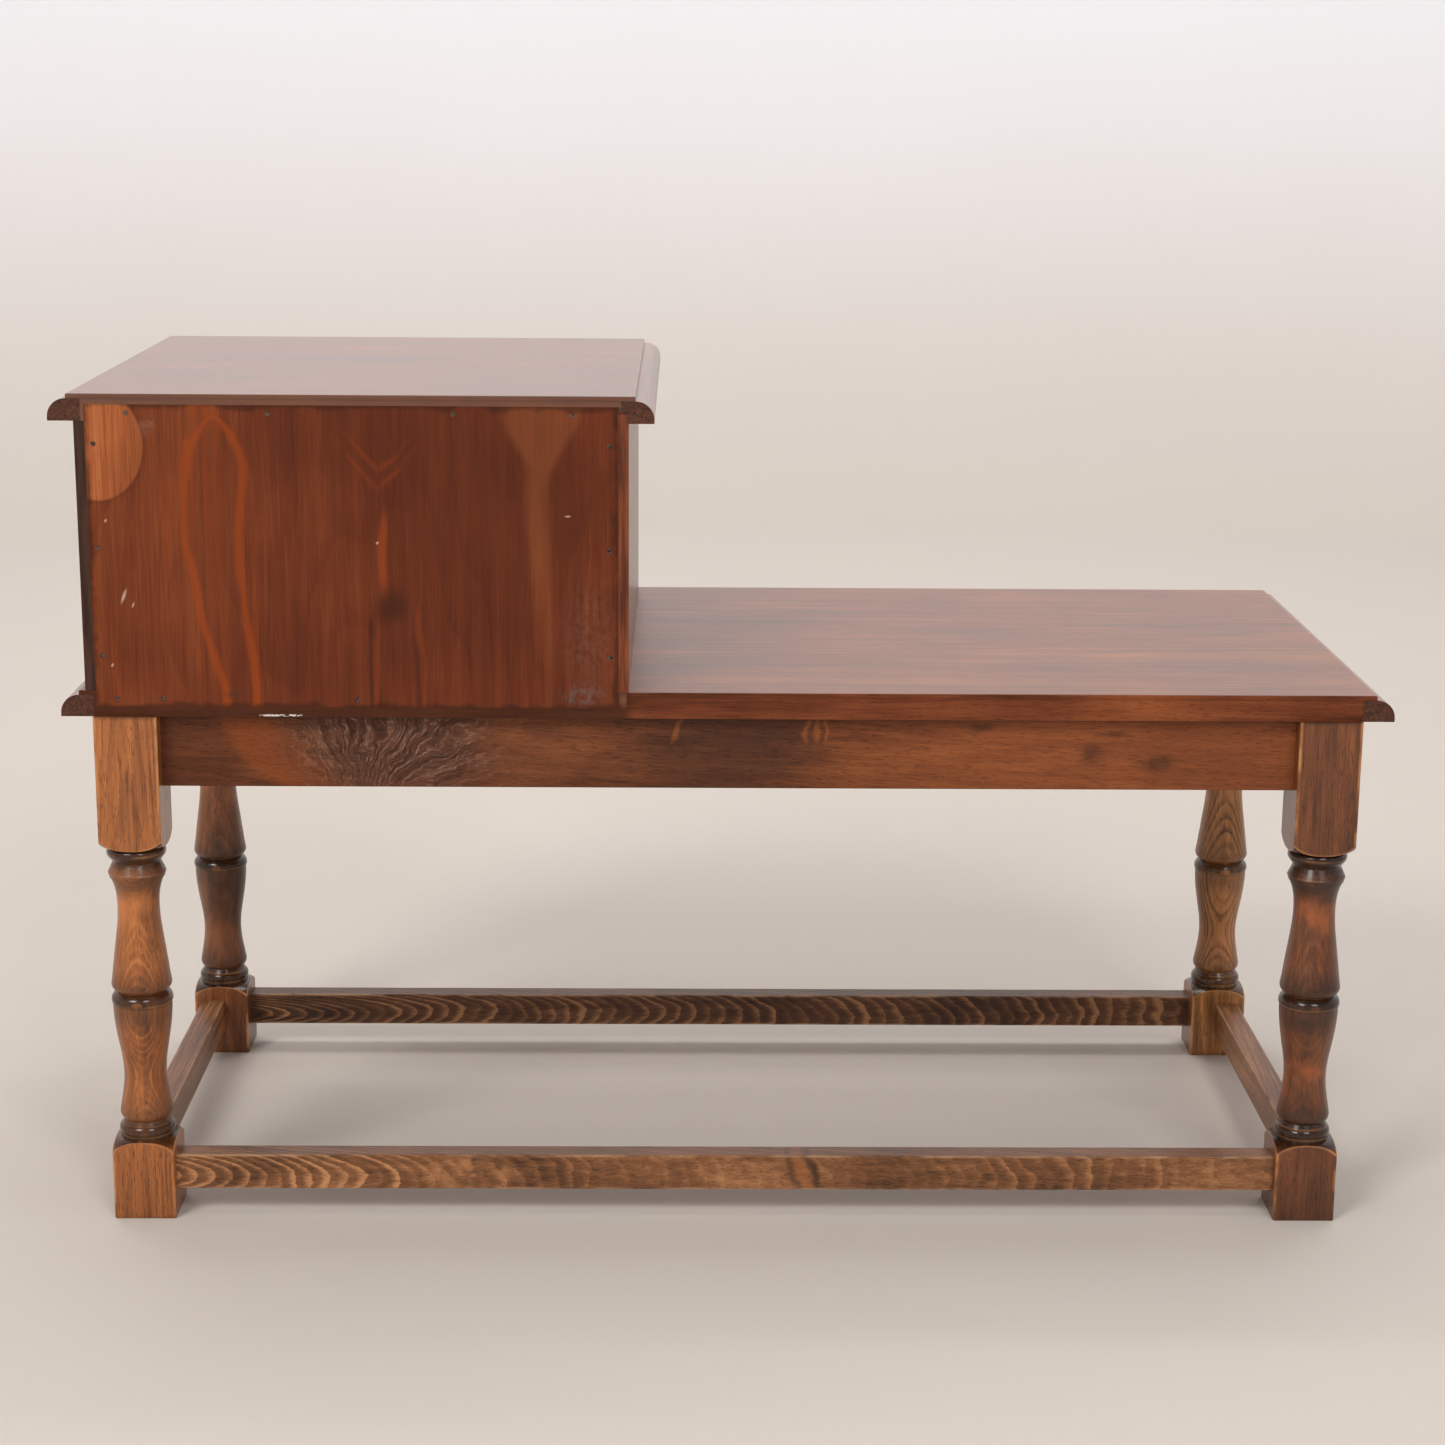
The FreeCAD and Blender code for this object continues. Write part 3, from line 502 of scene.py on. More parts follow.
def rail_finish(node, grain, colours, marks=None, figure_zones=None, **cut):
    """Stain, the marks of this very rail, and worn edges. Figure zones say where the rings show."""
    f = Finish(node + "_finish")
    where = figure_zones(f) if figure_zones else None
    colour, relief, tone = stained(f, node, grain, colours, where=where, **cut)
    if marks:
        colour = marks(f, colour)
    worn = long_edge_wear(f, node, grain, RAIL_WEAR_REACH)
    colour = layer(f, both(f, worn, 0.55), colour, shade(RAIL_WEAR))
    roughness = total(f, (tone, 0.12), (1.0, 0.32))
    return close(f, colour, roughness, relief, 0.00022, coat=0.1, coat_roughness=0.3, specular=0.3)


def rear_stretcher_figure(f):
    """Arcs at one end, a second group of them past the middle, and quiet streaks between."""
    return total(f, (band(f, f.x, 0.205, 0.50, 0.03), 0.76), (band(f, f.x, 0.100, 0.160, 0.02), 0.45),
                 (band(f, f.x, -0.30, -0.17, 0.04), 0.35), (1.0, 0.22))


def rear_stretcher_marks(f, colour):
    """A pale swirl of curly grain, and a pair of small knots with orange wood between them."""
    low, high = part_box("stretcher_rear")
    middle_z = (low.z + high.z) / 2
    wave = noise(f, f.place, (60.0, 60.0, 60.0), 3.0, 0.6)
    x = total(f, (f.x, 1.0), (wave, 0.016), (1.0, -0.008))
    curly = both(f, spot(f, x, f.z, (CURL_X, middle_z), (0.026, 0.011), 0.6), fade(f, wave, 0.3, 0.8))
    colour = layer(f, both(f, curly, 0.7), colour, shade(CURLY_WOOD))
    upright = KNOT_LEAN * middle_z - 0.003
    knot_x = total(f, (f.x, 1.0), (f.z, -KNOT_LEAN), (wave, 0.006), (1.0, upright))
    for where, amount, tint in STRETCHER_KNOTS:
        mark = spot(f, knot_x, f.z, (where, middle_z), (0.0030, 0.014), 0.7)
        colour = layer(f, both(f, mark, amount), colour, shade(tint))
    return colour


dress("stretcher_rear", rail_finish(
    "stretcher_rear", "x", BROWN_STAIN, rear_stretcher_marks, rear_stretcher_figure,
    heart=(-0.0978, 0.0085), lean=(0.5, 11.0), ring=0.0024, wander=2.0, figure=-0.50, seed=1.3, mottle=0.34))
dress("stretcher_front", rail_finish(
    "stretcher_front", "x", DARK_STAIN,
    heart=(-0.0682, 0.0070), lean=(0.5, 8.0), ring=0.0018, wander=2.0, figure=-0.48, seed=4.1, mottle=0.36))
dress("stretcher_right", rail_finish(
    "stretcher_right", "y", BROWN_STAIN,
    heart=(0.06, 0.02), lean=(1.0, 2.0), ring=0.0038, figure=0.18, seed=7.9))
dress("stretcher_left", rail_finish(
    "stretcher_left", "y", BROWN_STAIN,
    heart=(-0.05, 0.03), lean=(2.0, 1.0), ring=0.0038, figure=0.18, seed=9.4))
print("stretchers dressed")

# %% [markdown]
# ## Aprons
# Three of the rails under the seat are quiet wood under a redder stain. They could share one material,
# but boards from three logs never match, so each gets a heart line of its own.

# %% Apron finishes
APRON_STAIN = ((48, 23, 11), (102, 55, 29), (142, 82, 43))
APRON_CUTS = (("apron_front", "x", (0.09, 0.02), (0.6, 1.6), 2.2),
              ("apron_right", "y", (-0.08, 0.03), (1.0, 1.0), 3.7),
              ("apron_left", "y", (0.08, 0.02), (-1.0, 2.0), 5.8))

for name, grain, heart, lean, seed in APRON_CUTS:
    dress(name, rail_finish(name, grain, APRON_STAIN, heart=heart, lean=lean, seed=seed,
                            ring=0.0042, figure=0.16))
print("aprons dressed", [cut[0] for cut in APRON_CUTS])

# %% [markdown]
# ## The rear apron and its burr
# The maker hid the worst rail at the back. Its grain is wild round a burr, a knotty lump where the
# fibres fan out, and the plane tore it instead of cutting it. Beside it is a swoosh of clean orange
# heartwood. Ovals of noise-bent distance place these on the rail; bump makes the torn part rough to the
# touch.

# %% Rear apron
# The first zone, dark in the middle of the rail, is a painted shadow; the other three are stain.
APRON_ZONES_AND_SHADOW = ((0.000, 0.004, (0.062, 0.040), 0.55, 0.62, (52, 32, 24)),
                (0.368, 0.000, (0.048, 0.060), 0.50, 0.62, (74, 36, 17)),
                (0.145, -0.006, (0.075, 0.024), 0.60, 0.30, (122, 72, 44)),
                (-0.250, 0.000, (0.150, 0.060), 0.50, 0.35, (150, 82, 46)))
APRON_KNOTS = ((-0.247, 0.0, 0.010, 0.006), (-0.289, -0.005, 0.012, 0.005),
               (-0.167, 0.020, 0.009, 0.0025), (-0.262, 0.014, 0.007, 0.003))
APRON_FLECKS = (-0.049, -0.068, -0.058, 0.036)
SWOOSH_X = 0.312
SWOOSH_LEAN = 0.9
FAN_X = 0.258
FAN_DROP = 0.034
BURR_X = 0.229
KNOT_BROWN = (36, 22, 16)


def burr_figure(f, across, low):
    """Fine and coarse fibres of the burr, which fan out of a point below the rail."""
    fan_x = calc(f, "SUBTRACT", across, FAN_X)
    fan_z = calc(f, "SUBTRACT", f.z, low.z - FAN_DROP)
    swirl = noise(f, f.place, (26.0, 26.0, 26.0), 1.0, 0.5)
    angle = total(f, (calc(f, "ARCTAN2", fan_x, fan_z), 1.0), (swirl, 0.16))
    fan = joined(f, angle, length(f, fan_x, fan_z), 0.0)
    return noise(f, fan, (24.0, 22.0, 1.0), 2.0, 0.6), noise(f, fan, (60.0, 190.0, 1.0), 2.0, 0.65)


def rear_apron_finish():
    """Stain, the zones along the rail, the swoosh, the burr, and small knots and flecks."""
    node = "apron_rear"
    f = Finish("rear_apron_finish")
    low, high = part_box(node)
    middle_z = (low.z + high.z) / 2
    colour, relief, tone = stained(f, node, "x", APRON_STAIN, heart=(0.10, 0.012), lean=(2.5, 1.5),
                                   ring=0.0038, wander=2.6, seed=6.4, figure=0.16, mottle=0.30)
    wave = noise(f, f.place, (30.0, 30.0, 30.0), 3.0, 0.6)
    across = total(f, (f.x, 1.0), (wave, 0.018), (1.0, -0.009))
    up = total(f, (f.z, 1.0), (wave, 0.008), (1.0, -0.004))

    # zones along the rail: the first, dark one in the middle is a painted shadow, the others are stain
    for x, lift, radii, soft, amount, tint in APRON_ZONES_AND_SHADOW:
        zone = spot(f, across, up, (x, middle_z + lift), radii, soft)
        colour = layer(f, both(f, zone, amount), colour, shade(tint))

    # the swoosh of heartwood, which leans down towards the burr
    slanted = total(f, (across, 1.0), (up, -SWOOSH_LEAN), (1.0, SWOOSH_LEAN * middle_z))
    swoosh = spot(f, slanted, up, (SWOOSH_X, middle_z), (0.024, 0.034), 0.30)
    colour = layer(f, both(f, swoosh, 0.75), colour, shade((122, 60, 25)))

    # the burr, with pale glints where torn fibres stand up
    fibres, torn = burr_figure(f, across, low)
    burr = spot(f, across, up, (BURR_X, middle_z + 0.004), (0.062, 0.038), 0.5)
    burr_tone = total(f, (fibres, 0.65), (torn, 0.35))
    burr_colour = ramp(f, burr_tone, [(0.22, shade((36, 20, 15))), (0.5, shade((76, 48, 36))),
                                      (0.78, shade((112, 78, 62)))])
    colour = layer(f, both(f, burr, 0.85), colour, burr_colour)
    glints = both(f, burr, fade(f, torn, 0.66, 0.86), fade(f, fibres, 0.35, 0.65))
    colour = layer(f, both(f, glints, 0.42), colour, shade((160, 136, 122)))

    # small dark knots towards the other end, and orange flecks under the top edge
    for x, lift, wide, tall in APRON_KNOTS:
        knot = spot(f, across, up, (x, middle_z + lift), (wide, tall), 0.8)
        colour = layer(f, both(f, knot, 0.55), colour, shade(KNOT_BROWN))
    for x in APRON_FLECKS:
        fleck = spot(f, across, f.z, (x, high.z - 0.010), (0.0022, 0.008), 0.6)
        colour = layer(f, both(f, fleck, 0.5), colour, shade((150, 84, 40)))

    # painted shade: darker along the top edge, just under the seat
    grime_and_shade = fade(f, f.z, high.z - 0.006, high.z)
    colour = layer(f, both(f, grime_and_shade, 0.55), colour, shade((30, 20, 15)))
    rough = total(f, (burr_tone, 2.6), (1.0, -1.3))
    height = total(f, (relief, 1.0), (both(f, burr, rough), 0.6))
    roughness = total(f, (tone, 0.10), (burr, 0.10), (1.0, 0.42))
    return close(f, colour, roughness, height, 0.0003, coat=0.05, coat_roughness=0.35, specular=0.18)


dress("apron_rear", rear_apron_finish())
print("rear apron dressed")

# %% [markdown]
# ## Turned legs
# A leg is turned from a square blank, and the rings of the tree then show as loops wherever it swells.
# The finisher shades the turning: almost black glaze is wiped on and left in the beads and grooves, the
# waists are rubbed back to orange, and years of dusting have thinned the sharp rims. Most of that
# depends on height only, so bands along Z place it, and noise keeps the bands from looking machined.

# %% Heights of the turning
GLAZED_BANDS = ((0.0515, 0.0700, 0.004), (0.1545, 0.1640, 0.003), (0.2535, 0.2790, 0.004))
TONED_BANDS = ((0.068, 0.080, 0.010), (0.140, 0.156, 0.012), (0.162, 0.176, 0.010), (0.234, 0.252, 0.009))
WAISTS = ((0.1030, 0.020), (0.2215, 0.022))
RIMS = (0.0594, 0.0664, 0.1555, 0.1640, 0.2495, 0.2634)
RIM_REACH = 0.0011
BLOCK_BOTTOM = 0.277
FOOT_TOP = 0.052
DOME_TOP = 0.0572
DOME_BOTTOM = 0.2673
DOME_BEND = 54.8
SHOULDER_RADIUS = 0.018
LEG_EDGE_REACH = 0.0026
ARRIS_WEAR = (190, 132, 82)


def any_of(f, masks):
    """Where at least one of the masks holds: the largest of them."""
    result = masks[0]
    for mask in masks[1:]:
        result = calc(f, "MAXIMUM", result, mask)
    return result


# %% Leg finishes
def near_height(f, height, marks):
    """1 at each marked height, down to 0 at that mark's reach."""
    return any_of(f, [fade(f, gap(f, height, z), reach, reach * 0.15) for z, reach in marks])


def block_faces(f, node):
    """1 on the flat faces of the square blocks, and the worn arrises where their domed ends begin."""
    low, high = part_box(node)
    middle, half = (low + high) / 2, (high.x - low.x) / 2
    u = gap(f, f.x, middle.x)
    v = gap(f, f.y, middle.y)
    flat = fade(f, calc(f, "SUBTRACT", half, calc(f, "MAXIMUM", u, v)), 0.0009, 0.0004)
    step = calc(f, "SUBTRACT", length(f, u, v), SHOULDER_RADIUS)
    dome = calc(f, "MULTIPLY", calc(f, "MULTIPLY", step, step), DOME_BEND)
    foot_gap = calc(f, "ABSOLUTE", total(f, (f.z, 1.0), (dome, 1.0), (1.0, -DOME_TOP)))
    head_gap = calc(f, "ABSOLUTE", total(f, (f.z, 1.0), (dome, -1.0), (1.0, -DOME_BOTTOM)))
    arris = fade(f, calc(f, "MINIMUM", foot_gap, head_gap), 0.0013, 0.0004)
    return flat, both(f, arris, flat)


def leg_finish(node, colours, glaze, glow, heart, lean, ring, seed, toning, figure):
    """Stain, toner, rubbed waists, glazed beads, painted shade near the floor and under the seat, and wear,
    from the wood outwards.
    """
    f = Finish(node + "_finish")
    low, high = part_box(node)
    flat, arris = block_faces(f, node)
    turned = calc(f, "SUBTRACT", band(f, f.z, FOOT_TOP, BLOCK_BOTTOM, 0.003), flat)
    colour, relief, tone = stained(f, node, "z", colours, heart, lean, ring, 1.3, seed, figure, 0.30,
                                   where=total(f, (turned, 0.80), (1.0, 0.20)))
    wave = noise(f, f.place, (34.0, 34.0, 20.0), 3.0, 0.6)
    height = total(f, (f.z, 1.0), (wave, 0.006), (1.0, -0.003))

    # toner sprayed beside the beads and in clouds, then the waists rubbed back
    toned = any_of(f, [band(f, height, *item) for item in TONED_BANDS])
    colour = layer(f, both(f, toned, toning), colour, shade(glaze))
    cloud = fade(f, noise(f, f.place, (24.0, 24.0, 14.0 + seed * 0.1), 3.0, 0.6), 0.48, 0.90)
    colour = layer(f, both(f, cloud, turned, toning), colour, shade(glaze, 1.2))
    rubbed = both(f, near_height(f, height, WAISTS), fade(f, wave, 0.30, 0.85))
    colour = layer(f, both(f, rubbed, 0.7), colour, shade(glow))

    # glaze in the beads and grooves, thinned on the rims
    glazed = both(f, any_of(f, [band(f, f.z, *item) for item in GLAZED_BANDS]), inverse(f, flat))
    colour = layer(f, both(f, glazed, total(f, (wave, -0.25), (1.0, 0.92))), colour, shade(glaze, 0.5))
    rims = both(f, near_height(f, f.z, [(z, RIM_REACH) for z in RIMS]), fade(f, wave, 0.1, 0.9))
    colour = layer(f, both(f, rims, 0.36), colour, shade(ARRIS_WEAR, 0.8))

    # painted shade: darker round the foot towards the floor, on its shoulders, and just under the seat
    shade_near_floor_and_seat = any_of(f, [fade(f, height, 0.007, -0.002), fade(f, f.z, high.z - 0.003, high.z),
                      both(f, fade(f, height, 0.046, 0.004), toning, 0.85)])
    colour = layer(f, both(f, shade_near_floor_and_seat, total(f, (wave, 0.5), (1.0, 0.2))), colour, shade(glaze, 0.8))

    # wear on the long edges of the blocks and on the arrises of their domes
    edges = long_edge_wear(f, node, "z", LEG_EDGE_REACH, seed)
    domes = both(f, arris, fade(f, wave, 0.15, 0.6))
    worn = both(f, calc(f, "MAXIMUM", edges, domes), inverse(f, turned))
    colour = layer(f, both(f, worn, 0.42), colour, shade(ARRIS_WEAR))
    gloss = total(f, (tone, 0.10), (glazed, -0.14), (1.0, 0.30))
    smooth_glaze = calc(f, "MULTIPLY_ADD", glazed, -0.85, 1.0)
    return close(f, colour, gloss, both(f, relief, smooth_glaze), 0.00016, coat=0.25, coat_roughness=0.14,
                 specular=0.35)


# %% [markdown]
# The four legs came from different wood and took the stain differently: honey, walnut, russet and
# amber. So one function makes all four, and each leg brings its colours, its glaze and its own cut from
# the tree.

# %% Four legs
HONEY_LEG = ((66, 35, 17), (148, 86, 42), (194, 120, 62))
WALNUT_LEG = ((44, 23, 13), (102, 57, 30), (148, 86, 45))
RUSSET_LEG = ((50, 27, 15), (116, 68, 38), (162, 100, 56))
AMBER_LEG = ((62, 36, 18), (144, 94, 51), (190, 130, 76))

dress("leg_rear_right", leg_finish(
    "leg_rear_right", HONEY_LEG, glaze=(50, 31, 19), glow=(200, 122, 64),
    heart=(0.052, 0.004), lean=(0.8, 0.6), ring=0.0010, seed=1.0, toning=0.50, figure=-0.24))
dress("leg_rear_left", leg_finish(
    "leg_rear_left", WALNUT_LEG, glaze=(30, 20, 14), glow=(182, 98, 48),
    heart=(0.060, -0.005), lean=(-1.2, 1.0), ring=0.0016, seed=4.6, toning=0.74, figure=-0.14))
dress("leg_front_right", leg_finish(
    "leg_front_right", RUSSET_LEG, glaze=(34, 22, 16), glow=(160, 94, 54),
    heart=(0.048, 0.006), lean=(1.0, 2.0), ring=0.0026, seed=6.2, toning=0.55, figure=0.14))
dress("leg_front_left", leg_finish(
    "leg_front_left", AMBER_LEG, glaze=(50, 32, 20), glow=(184, 118, 68),
    heart=(0.040, -0.004), lean=(1.0, -1.5), ring=0.0018, seed=8.8, toning=0.30, figure=0.36))
print("legs dressed")

# %% [markdown]
# ## Boards with a lacquered top
# Seat and cabinet top are boards with a satin lacquer, which mirrors the pale wall when seen at a low
# angle and so looks much lighter than the edges. Their rear edges were never moulded: they show raw
# stained wood, darker along the stretch under the cabinet. A broken strip of wall paint clings to
# the seat's lower edge.

# %% Board finishes
BOARD_STAIN = ((58, 29, 14), (122, 68, 36), (170, 104, 58))
EDGE_STAIN = ((62, 27, 13), (108, 56, 32), (136, 76, 41))
DARK_EDGE = (58, 30, 16)
DULL_EDGE = (94, 68, 54)
WALL_PAINT = (214, 206, 198)
PAINT_SPAN = (0.290, 0.317)
CABINET_START = 0.068
EDGE_LACQUER = 0.05
BOARD_RELIEF = 0.00010


def board_finish(node, rear_colour, rear_amount, dark_from, heart, seed, lacquer):
    """The parts of a board's finish, for the caller to close. Its rear edge is darker from one place on."""
    f = Finish(node + "_finish")
    low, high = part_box(node)
    top, relief, tone = stained(f, node, "x", BOARD_STAIN, heart, lean=(0.5, 0.5), ring=0.0045, wander=1.4,
                                seed=seed, figure=0.20, mottle=0.24, pore=0.10)
    edge, _, _ = stained(f, node, "x", EDGE_STAIN, heart, lean=(0.5, 2.0), ring=0.0045, wander=1.8,
                         seed=seed + 3.0, figure=0.12, mottle=0.50, pore=0.4)
    at_edge = fade(f, f.y, high.y - 0.0007, high.y - 0.0002)
    under_cabinet = fade(f, f.x, dark_from - 0.006, dark_from + 0.006)
    edge = layer(f, both(f, under_cabinet, rear_amount), edge, shade(rear_colour))
    step = band(f, f.z, high.z - 0.0038, high.z - 0.0026, 0.0004)
    edge = layer(f, both(f, step, 0.25), edge, shade(DARK_EDGE, 0.6))
    colour = layer(f, at_edge, top, edge)
    roughness = total(f, (tone, 0.16), (at_edge, 0.10), (1.0, 0.34))
    coat = calc(f, "MULTIPLY_ADD", at_edge, EDGE_LACQUER - lacquer, lacquer)
    return f, colour, roughness, relief, coat


def seat_board_finish():
    f, colour, roughness, relief, coat = board_finish(
        "seat_board", DARK_EDGE, 0.78, CABINET_START, heart=(0.02, 0.14), seed=12.0, lacquer=0.85)
    low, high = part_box("seat_board")
    broken = fade(f, noise(f, f.place, (260.0, 260.0, 700.0), 2.0, 0.7), 0.42, 0.55)
    strip = both(f, band(f, f.x, *PAINT_SPAN, 0.002), band(f, f.z, low.z + 0.0006, low.z + 0.0019, 0.0003),
                 fade(f, f.y, high.y - 0.001, high.y - 0.0004), broken)
    colour = layer(f, strip, colour, shade(WALL_PAINT))
    return close(f, colour, roughness, relief, BOARD_RELIEF, coat=coat, coat_roughness=0.34, specular=0.10)


def top_board_finish():
    f, colour, roughness, relief, coat = board_finish(
        "cabinet_top", DULL_EDGE, 0.55, 0.0, heart=(0.03, -0.12), seed=15.0, lacquer=1.0)
    return close(f, colour, roughness, relief, BOARD_RELIEF, coat=coat, coat_roughness=0.32, specular=0.35)


dress("seat_board", seat_board_finish())
dress("cabinet_top", top_board_finish())
print("boards dressed")

# %% [markdown]
# The moulded strips round the boards are solid wood, mitred at the front. At the back their sawn ends
# show. End grain drinks the stain and turns nearly black, so the last half millimetre of each side
# strip is dark.

# %% Lipping finishes
LIPPING_LACQUER = 0.7
SIDE_LIPPINGS = ("seat_lipping_left", "seat_lipping_right", "top_lipping_left", "top_lipping_right")
FRONT_LIPPINGS = ("seat_lipping_front", "top_lipping_front")


def lipping_finish(node, grain, seed):
    """Lacquered stain with painted shade in the quirk under the top arris; strips that run back end in bare
    end grain.
    """
    f = Finish(node + "_finish")
    low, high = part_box(node)
    colour, relief, tone = stained(f, node, grain, BOARD_STAIN, heart=(0.07, 0.03), lean=(1.0, 1.0),
                                   ring=0.004, wander=1.4, seed=seed, figure=0.2, mottle=0.3)
    lacquer = LIPPING_LACQUER
    if grain == "y":
        sawn = fade(f, f.y, high.y - 0.0009, high.y - 0.0002)
        dots = noise(f, f.place, (620.0, 620.0, 620.0), 2.0, 0.6)
        end = layer(f, dots, shade((40, 22, 15)), shade((96, 54, 34)))
        colour = layer(f, sawn, colour, end)
        tone = total(f, (tone, 1.0), (sawn, 1.5))
        lacquer = calc(f, "MULTIPLY_ADD", sawn, -LIPPING_LACQUER, LIPPING_LACQUER)
    # painted shade on the shadowed face of the quirk under the top arris
    quirk_shade = band(f, f.z, high.z - 0.0052, high.z - 0.0028, 0.0005)
    colour = layer(f, both(f, quirk_shade, 0.35), colour, shade(DARK_EDGE))
    return close(f, colour, total(f, (tone, 0.12), (1.0, 0.26)), relief, 0.00014, coat=lacquer,
                 coat_roughness=0.24, specular=0.3)


for number, name in enumerate(SIDE_LIPPINGS):
    dress(name, lipping_finish(name, "y", 20.0 + 2.3 * number))
for number, name in enumerate(FRONT_LIPPINGS):
    dress(name, lipping_finish(name, "x", 31.0 + 2.3 * number))
print("lippings dressed", len(SIDE_LIPPINGS + FRONT_LIPPINGS))

# %% [markdown]
# ## Cabinet sides
# The sides are boards stood on end, so their grain runs up. Outside they are lacquered like the seat.
# Their rear edges, beside the back panel, are dark with old stain and handling.

# %% Cabinet side finishes
CASE_STAIN = ((58, 30, 18), (112, 64, 38), (154, 96, 58))


def side_finish(node, rear_edge, heart, seed):
    """Stain and half a lacquer, which stops at the streaky rear edge."""
    f = Finish(node + "_finish")
    low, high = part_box(node)
    colour, relief, tone = stained(f, node, "z", CASE_STAIN, heart, lean=(0.8, 1.2), ring=0.0045, wander=1.6,
                                   seed=seed, figure=0.2, mottle=0.3)
    at_edge = fade(f, f.y, high.y - 0.0042, high.y - 0.0036)
    streaks = noise(f, f.place, (200.0, 60.0, 16.0), 3.0, 0.6)
    edge = layer(f, fade(f, streaks, 0.1, 0.9), shade(rear_edge, 0.45), shade(rear_edge, 1.35))
    colour = layer(f, at_edge, colour, edge)
    return close(f, colour, total(f, (tone, 0.12), (at_edge, 0.15), (1.0, 0.28)), relief, 0.00014,
                 coat=calc(f, "MULTIPLY_ADD", at_edge, -0.5, 0.5), coat_roughness=0.25, specular=0.25)


dress("cabinet_side_left", side_finish("cabinet_side_left", (112, 56, 30), (0.05, 0.10), 41.0))
dress("cabinet_side_right", side_finish("cabinet_side_right", (58, 34, 24), (-0.05, -0.10), 44.0))
print("cabinet sides dressed")

# %% [markdown]
# ## The back panel
# The back is thin plywood. Its face was peeled off a turning log, so the rings show as slow wandering
# contours instead of stripes. A smooth noise field cut into contours gives that general figure, and
# fine upright fibres lie over it. Stretched noise alone would make it look sawn and not peeled.

# %% Panel ground
PANEL_DARK = (78, 34, 18)
PANEL_MIDDLE = (102, 48, 25)
PANEL_LIGHT = (126, 65, 33)
PANEL_ORANGE = (138, 60, 20)
PANEL_UMBER = (56, 26, 17)
PANEL_STRAW = (152, 88, 50)
CONTOUR_COUNT = 4.2


def panel_ground(f):
    """Fine upright fibres over slow contours, redder to one side and browner to the other."""
    slow = noise(f, f.place, (9.0, 1.0, 2.6), 2.0, 0.45)
    contour = calc(f, "FRACT", total(f, (slow, CONTOUR_COUNT)))
    line = both(f, fade(f, contour, 0.55, 0.95), fade(f, contour, 1.0, 0.96))
    streak = noise(f, f.place, (150.0, 1.0, 5.0), 3.0, 0.62)
    fibre = noise(f, f.place, (900.0, 1.0, 26.0), 2.0, 0.6)
    cloud = noise(f, f.place, (16.0, 1.0, 11.0), 3.0, 0.55)
    side = fade(f, f.x, 0.20, 0.40)
    tone = total(f, (slow, 0.14), (streak, 0.24), (fibre, 0.20), (cloud, 0.26), (line, -0.08), (side, 0.10),
                 (1.0, 0.05))
    stops = [(0.20, shade(PANEL_DARK)), (0.5, shade(PANEL_MIDDLE)), (0.82, shade(PANEL_LIGHT))]
    colour = ramp(f, tone, stops)
    stripes = both(f, side, fade(f, noise(f, f.place, (75.0, 1.0, 2.2), 2.0, 0.6), 0.62, 0.80))
    colour = layer(f, both(f, stripes, 0.45), colour, shade(PANEL_ORANGE))
    return colour, total(f, (fibre, 0.6), (streak, 0.4)), tone


# %% [markdown]
# This very sheet has marks of its own: an arch, a chevron, a knot with dark tails, and a pale band.
# They could be painted, but a curve is simpler: each point's distance from it is a short sum, and a
# ribbon of colour follows wherever that distance is small.

# %% Marks in the panel's figure
ARCH_TOP = 0.562
ARCH_TURN = 1 / 0.032
ARCH_X = 0.3425
CHEVRON_X = 0.236
CHEVRON_POINT = 0.519
CHEVRON_SLOPE = 1.15
PALE_BAND_X = 0.1275


def ribbon(f, distance, half_width):
    """1 along a curve that is given as a distance from it."""
    near = fade(f, calc(f, "ABSOLUTE", distance), half_width, 0.0)
    return both(f, near, near, calc(f, "MULTIPLY_ADD", near, -2.0, 3.0))


def arch_mark(f, x, z):
    """An arch whose legs run down to the bottom of the sheet and draw together there, and its inside."""
    foot = fade(f, z, 0.450, 0.372)
    below_top = total(f, (z, -ARCH_TURN), (1.0, ARCH_TURN * ARCH_TOP))
    drop = calc(f, "MINIMUM", calc(f, "MAXIMUM", below_top, 0.0), 1.0)
    crown = calc(f, "SQRT", calc(f, "MULTIPLY", drop, calc(f, "SUBTRACT", 2.0, drop)))
    width = total(f, (crown, 0.0165), (foot, -0.007))
    offset = calc(f, "ABSOLUTE", total(f, (x, 1.0), (foot, 0.0095), (1.0, -ARCH_X)))
    edge = ribbon(f, calc(f, "SUBTRACT", offset, width), 0.0050)
    inside = both(f, fade(f, calc(f, "SUBTRACT", offset, width), 0.0, -0.006), fade(f, z, 0.568, 0.55))
    return both(f, edge, fade(f, z, 0.568, ARCH_TOP)), inside


def chevron_mark(f, x, z):
    """Two lines, one above the other, each folded to a V."""
    point = total(f, (z, 1.0), (gap(f, x, CHEVRON_X), -CHEVRON_SLOPE), (1.0, -CHEVRON_POINT))
    here = spot(f, x, z, (CHEVRON_X, 0.534), (0.026, 0.026), 0.5)
    lines = any_of(f, [ribbon(f, total(f, (point, 1.0), (1.0, -step)), 0.0052) for step in (0.0, 0.014)])
    return both(f, lines, here, fade(f, noise(f, f.place, (60.0, 1.0, 34.0), 2.0, 0.5), 0.15, 0.75))


def pale_band_mark(f, x, z):
    """A pale band that opens upwards like a funnel and thins out below."""
    centre = total(f, (fade(f, z, 0.47, 0.40), -0.007), (1.0, PALE_BAND_X))
    width = total(f, (fade(f, z, 0.525, 0.574), 0.020), (fade(f, z, 0.45, 0.39), -0.0035), (1.0, 0.0065))
    offset = calc(f, "ABSOLUTE", calc(f, "SUBTRACT", x, centre))
    inside = fade(f, calc(f, "SUBTRACT", offset, width), 0.0046, -0.0046)
    return both(f, inside, total(f, (fade(f, z, 0.43, 0.47), 0.5), (1.0, 0.5)))


# %% [markdown]
# Now the sheet is built up as a finisher would see it: the ground, darker pools in its middle, the
# marks, and the corner that missed the stain. The marks read a place that noise has bent a little, so
# none is ruler-true.

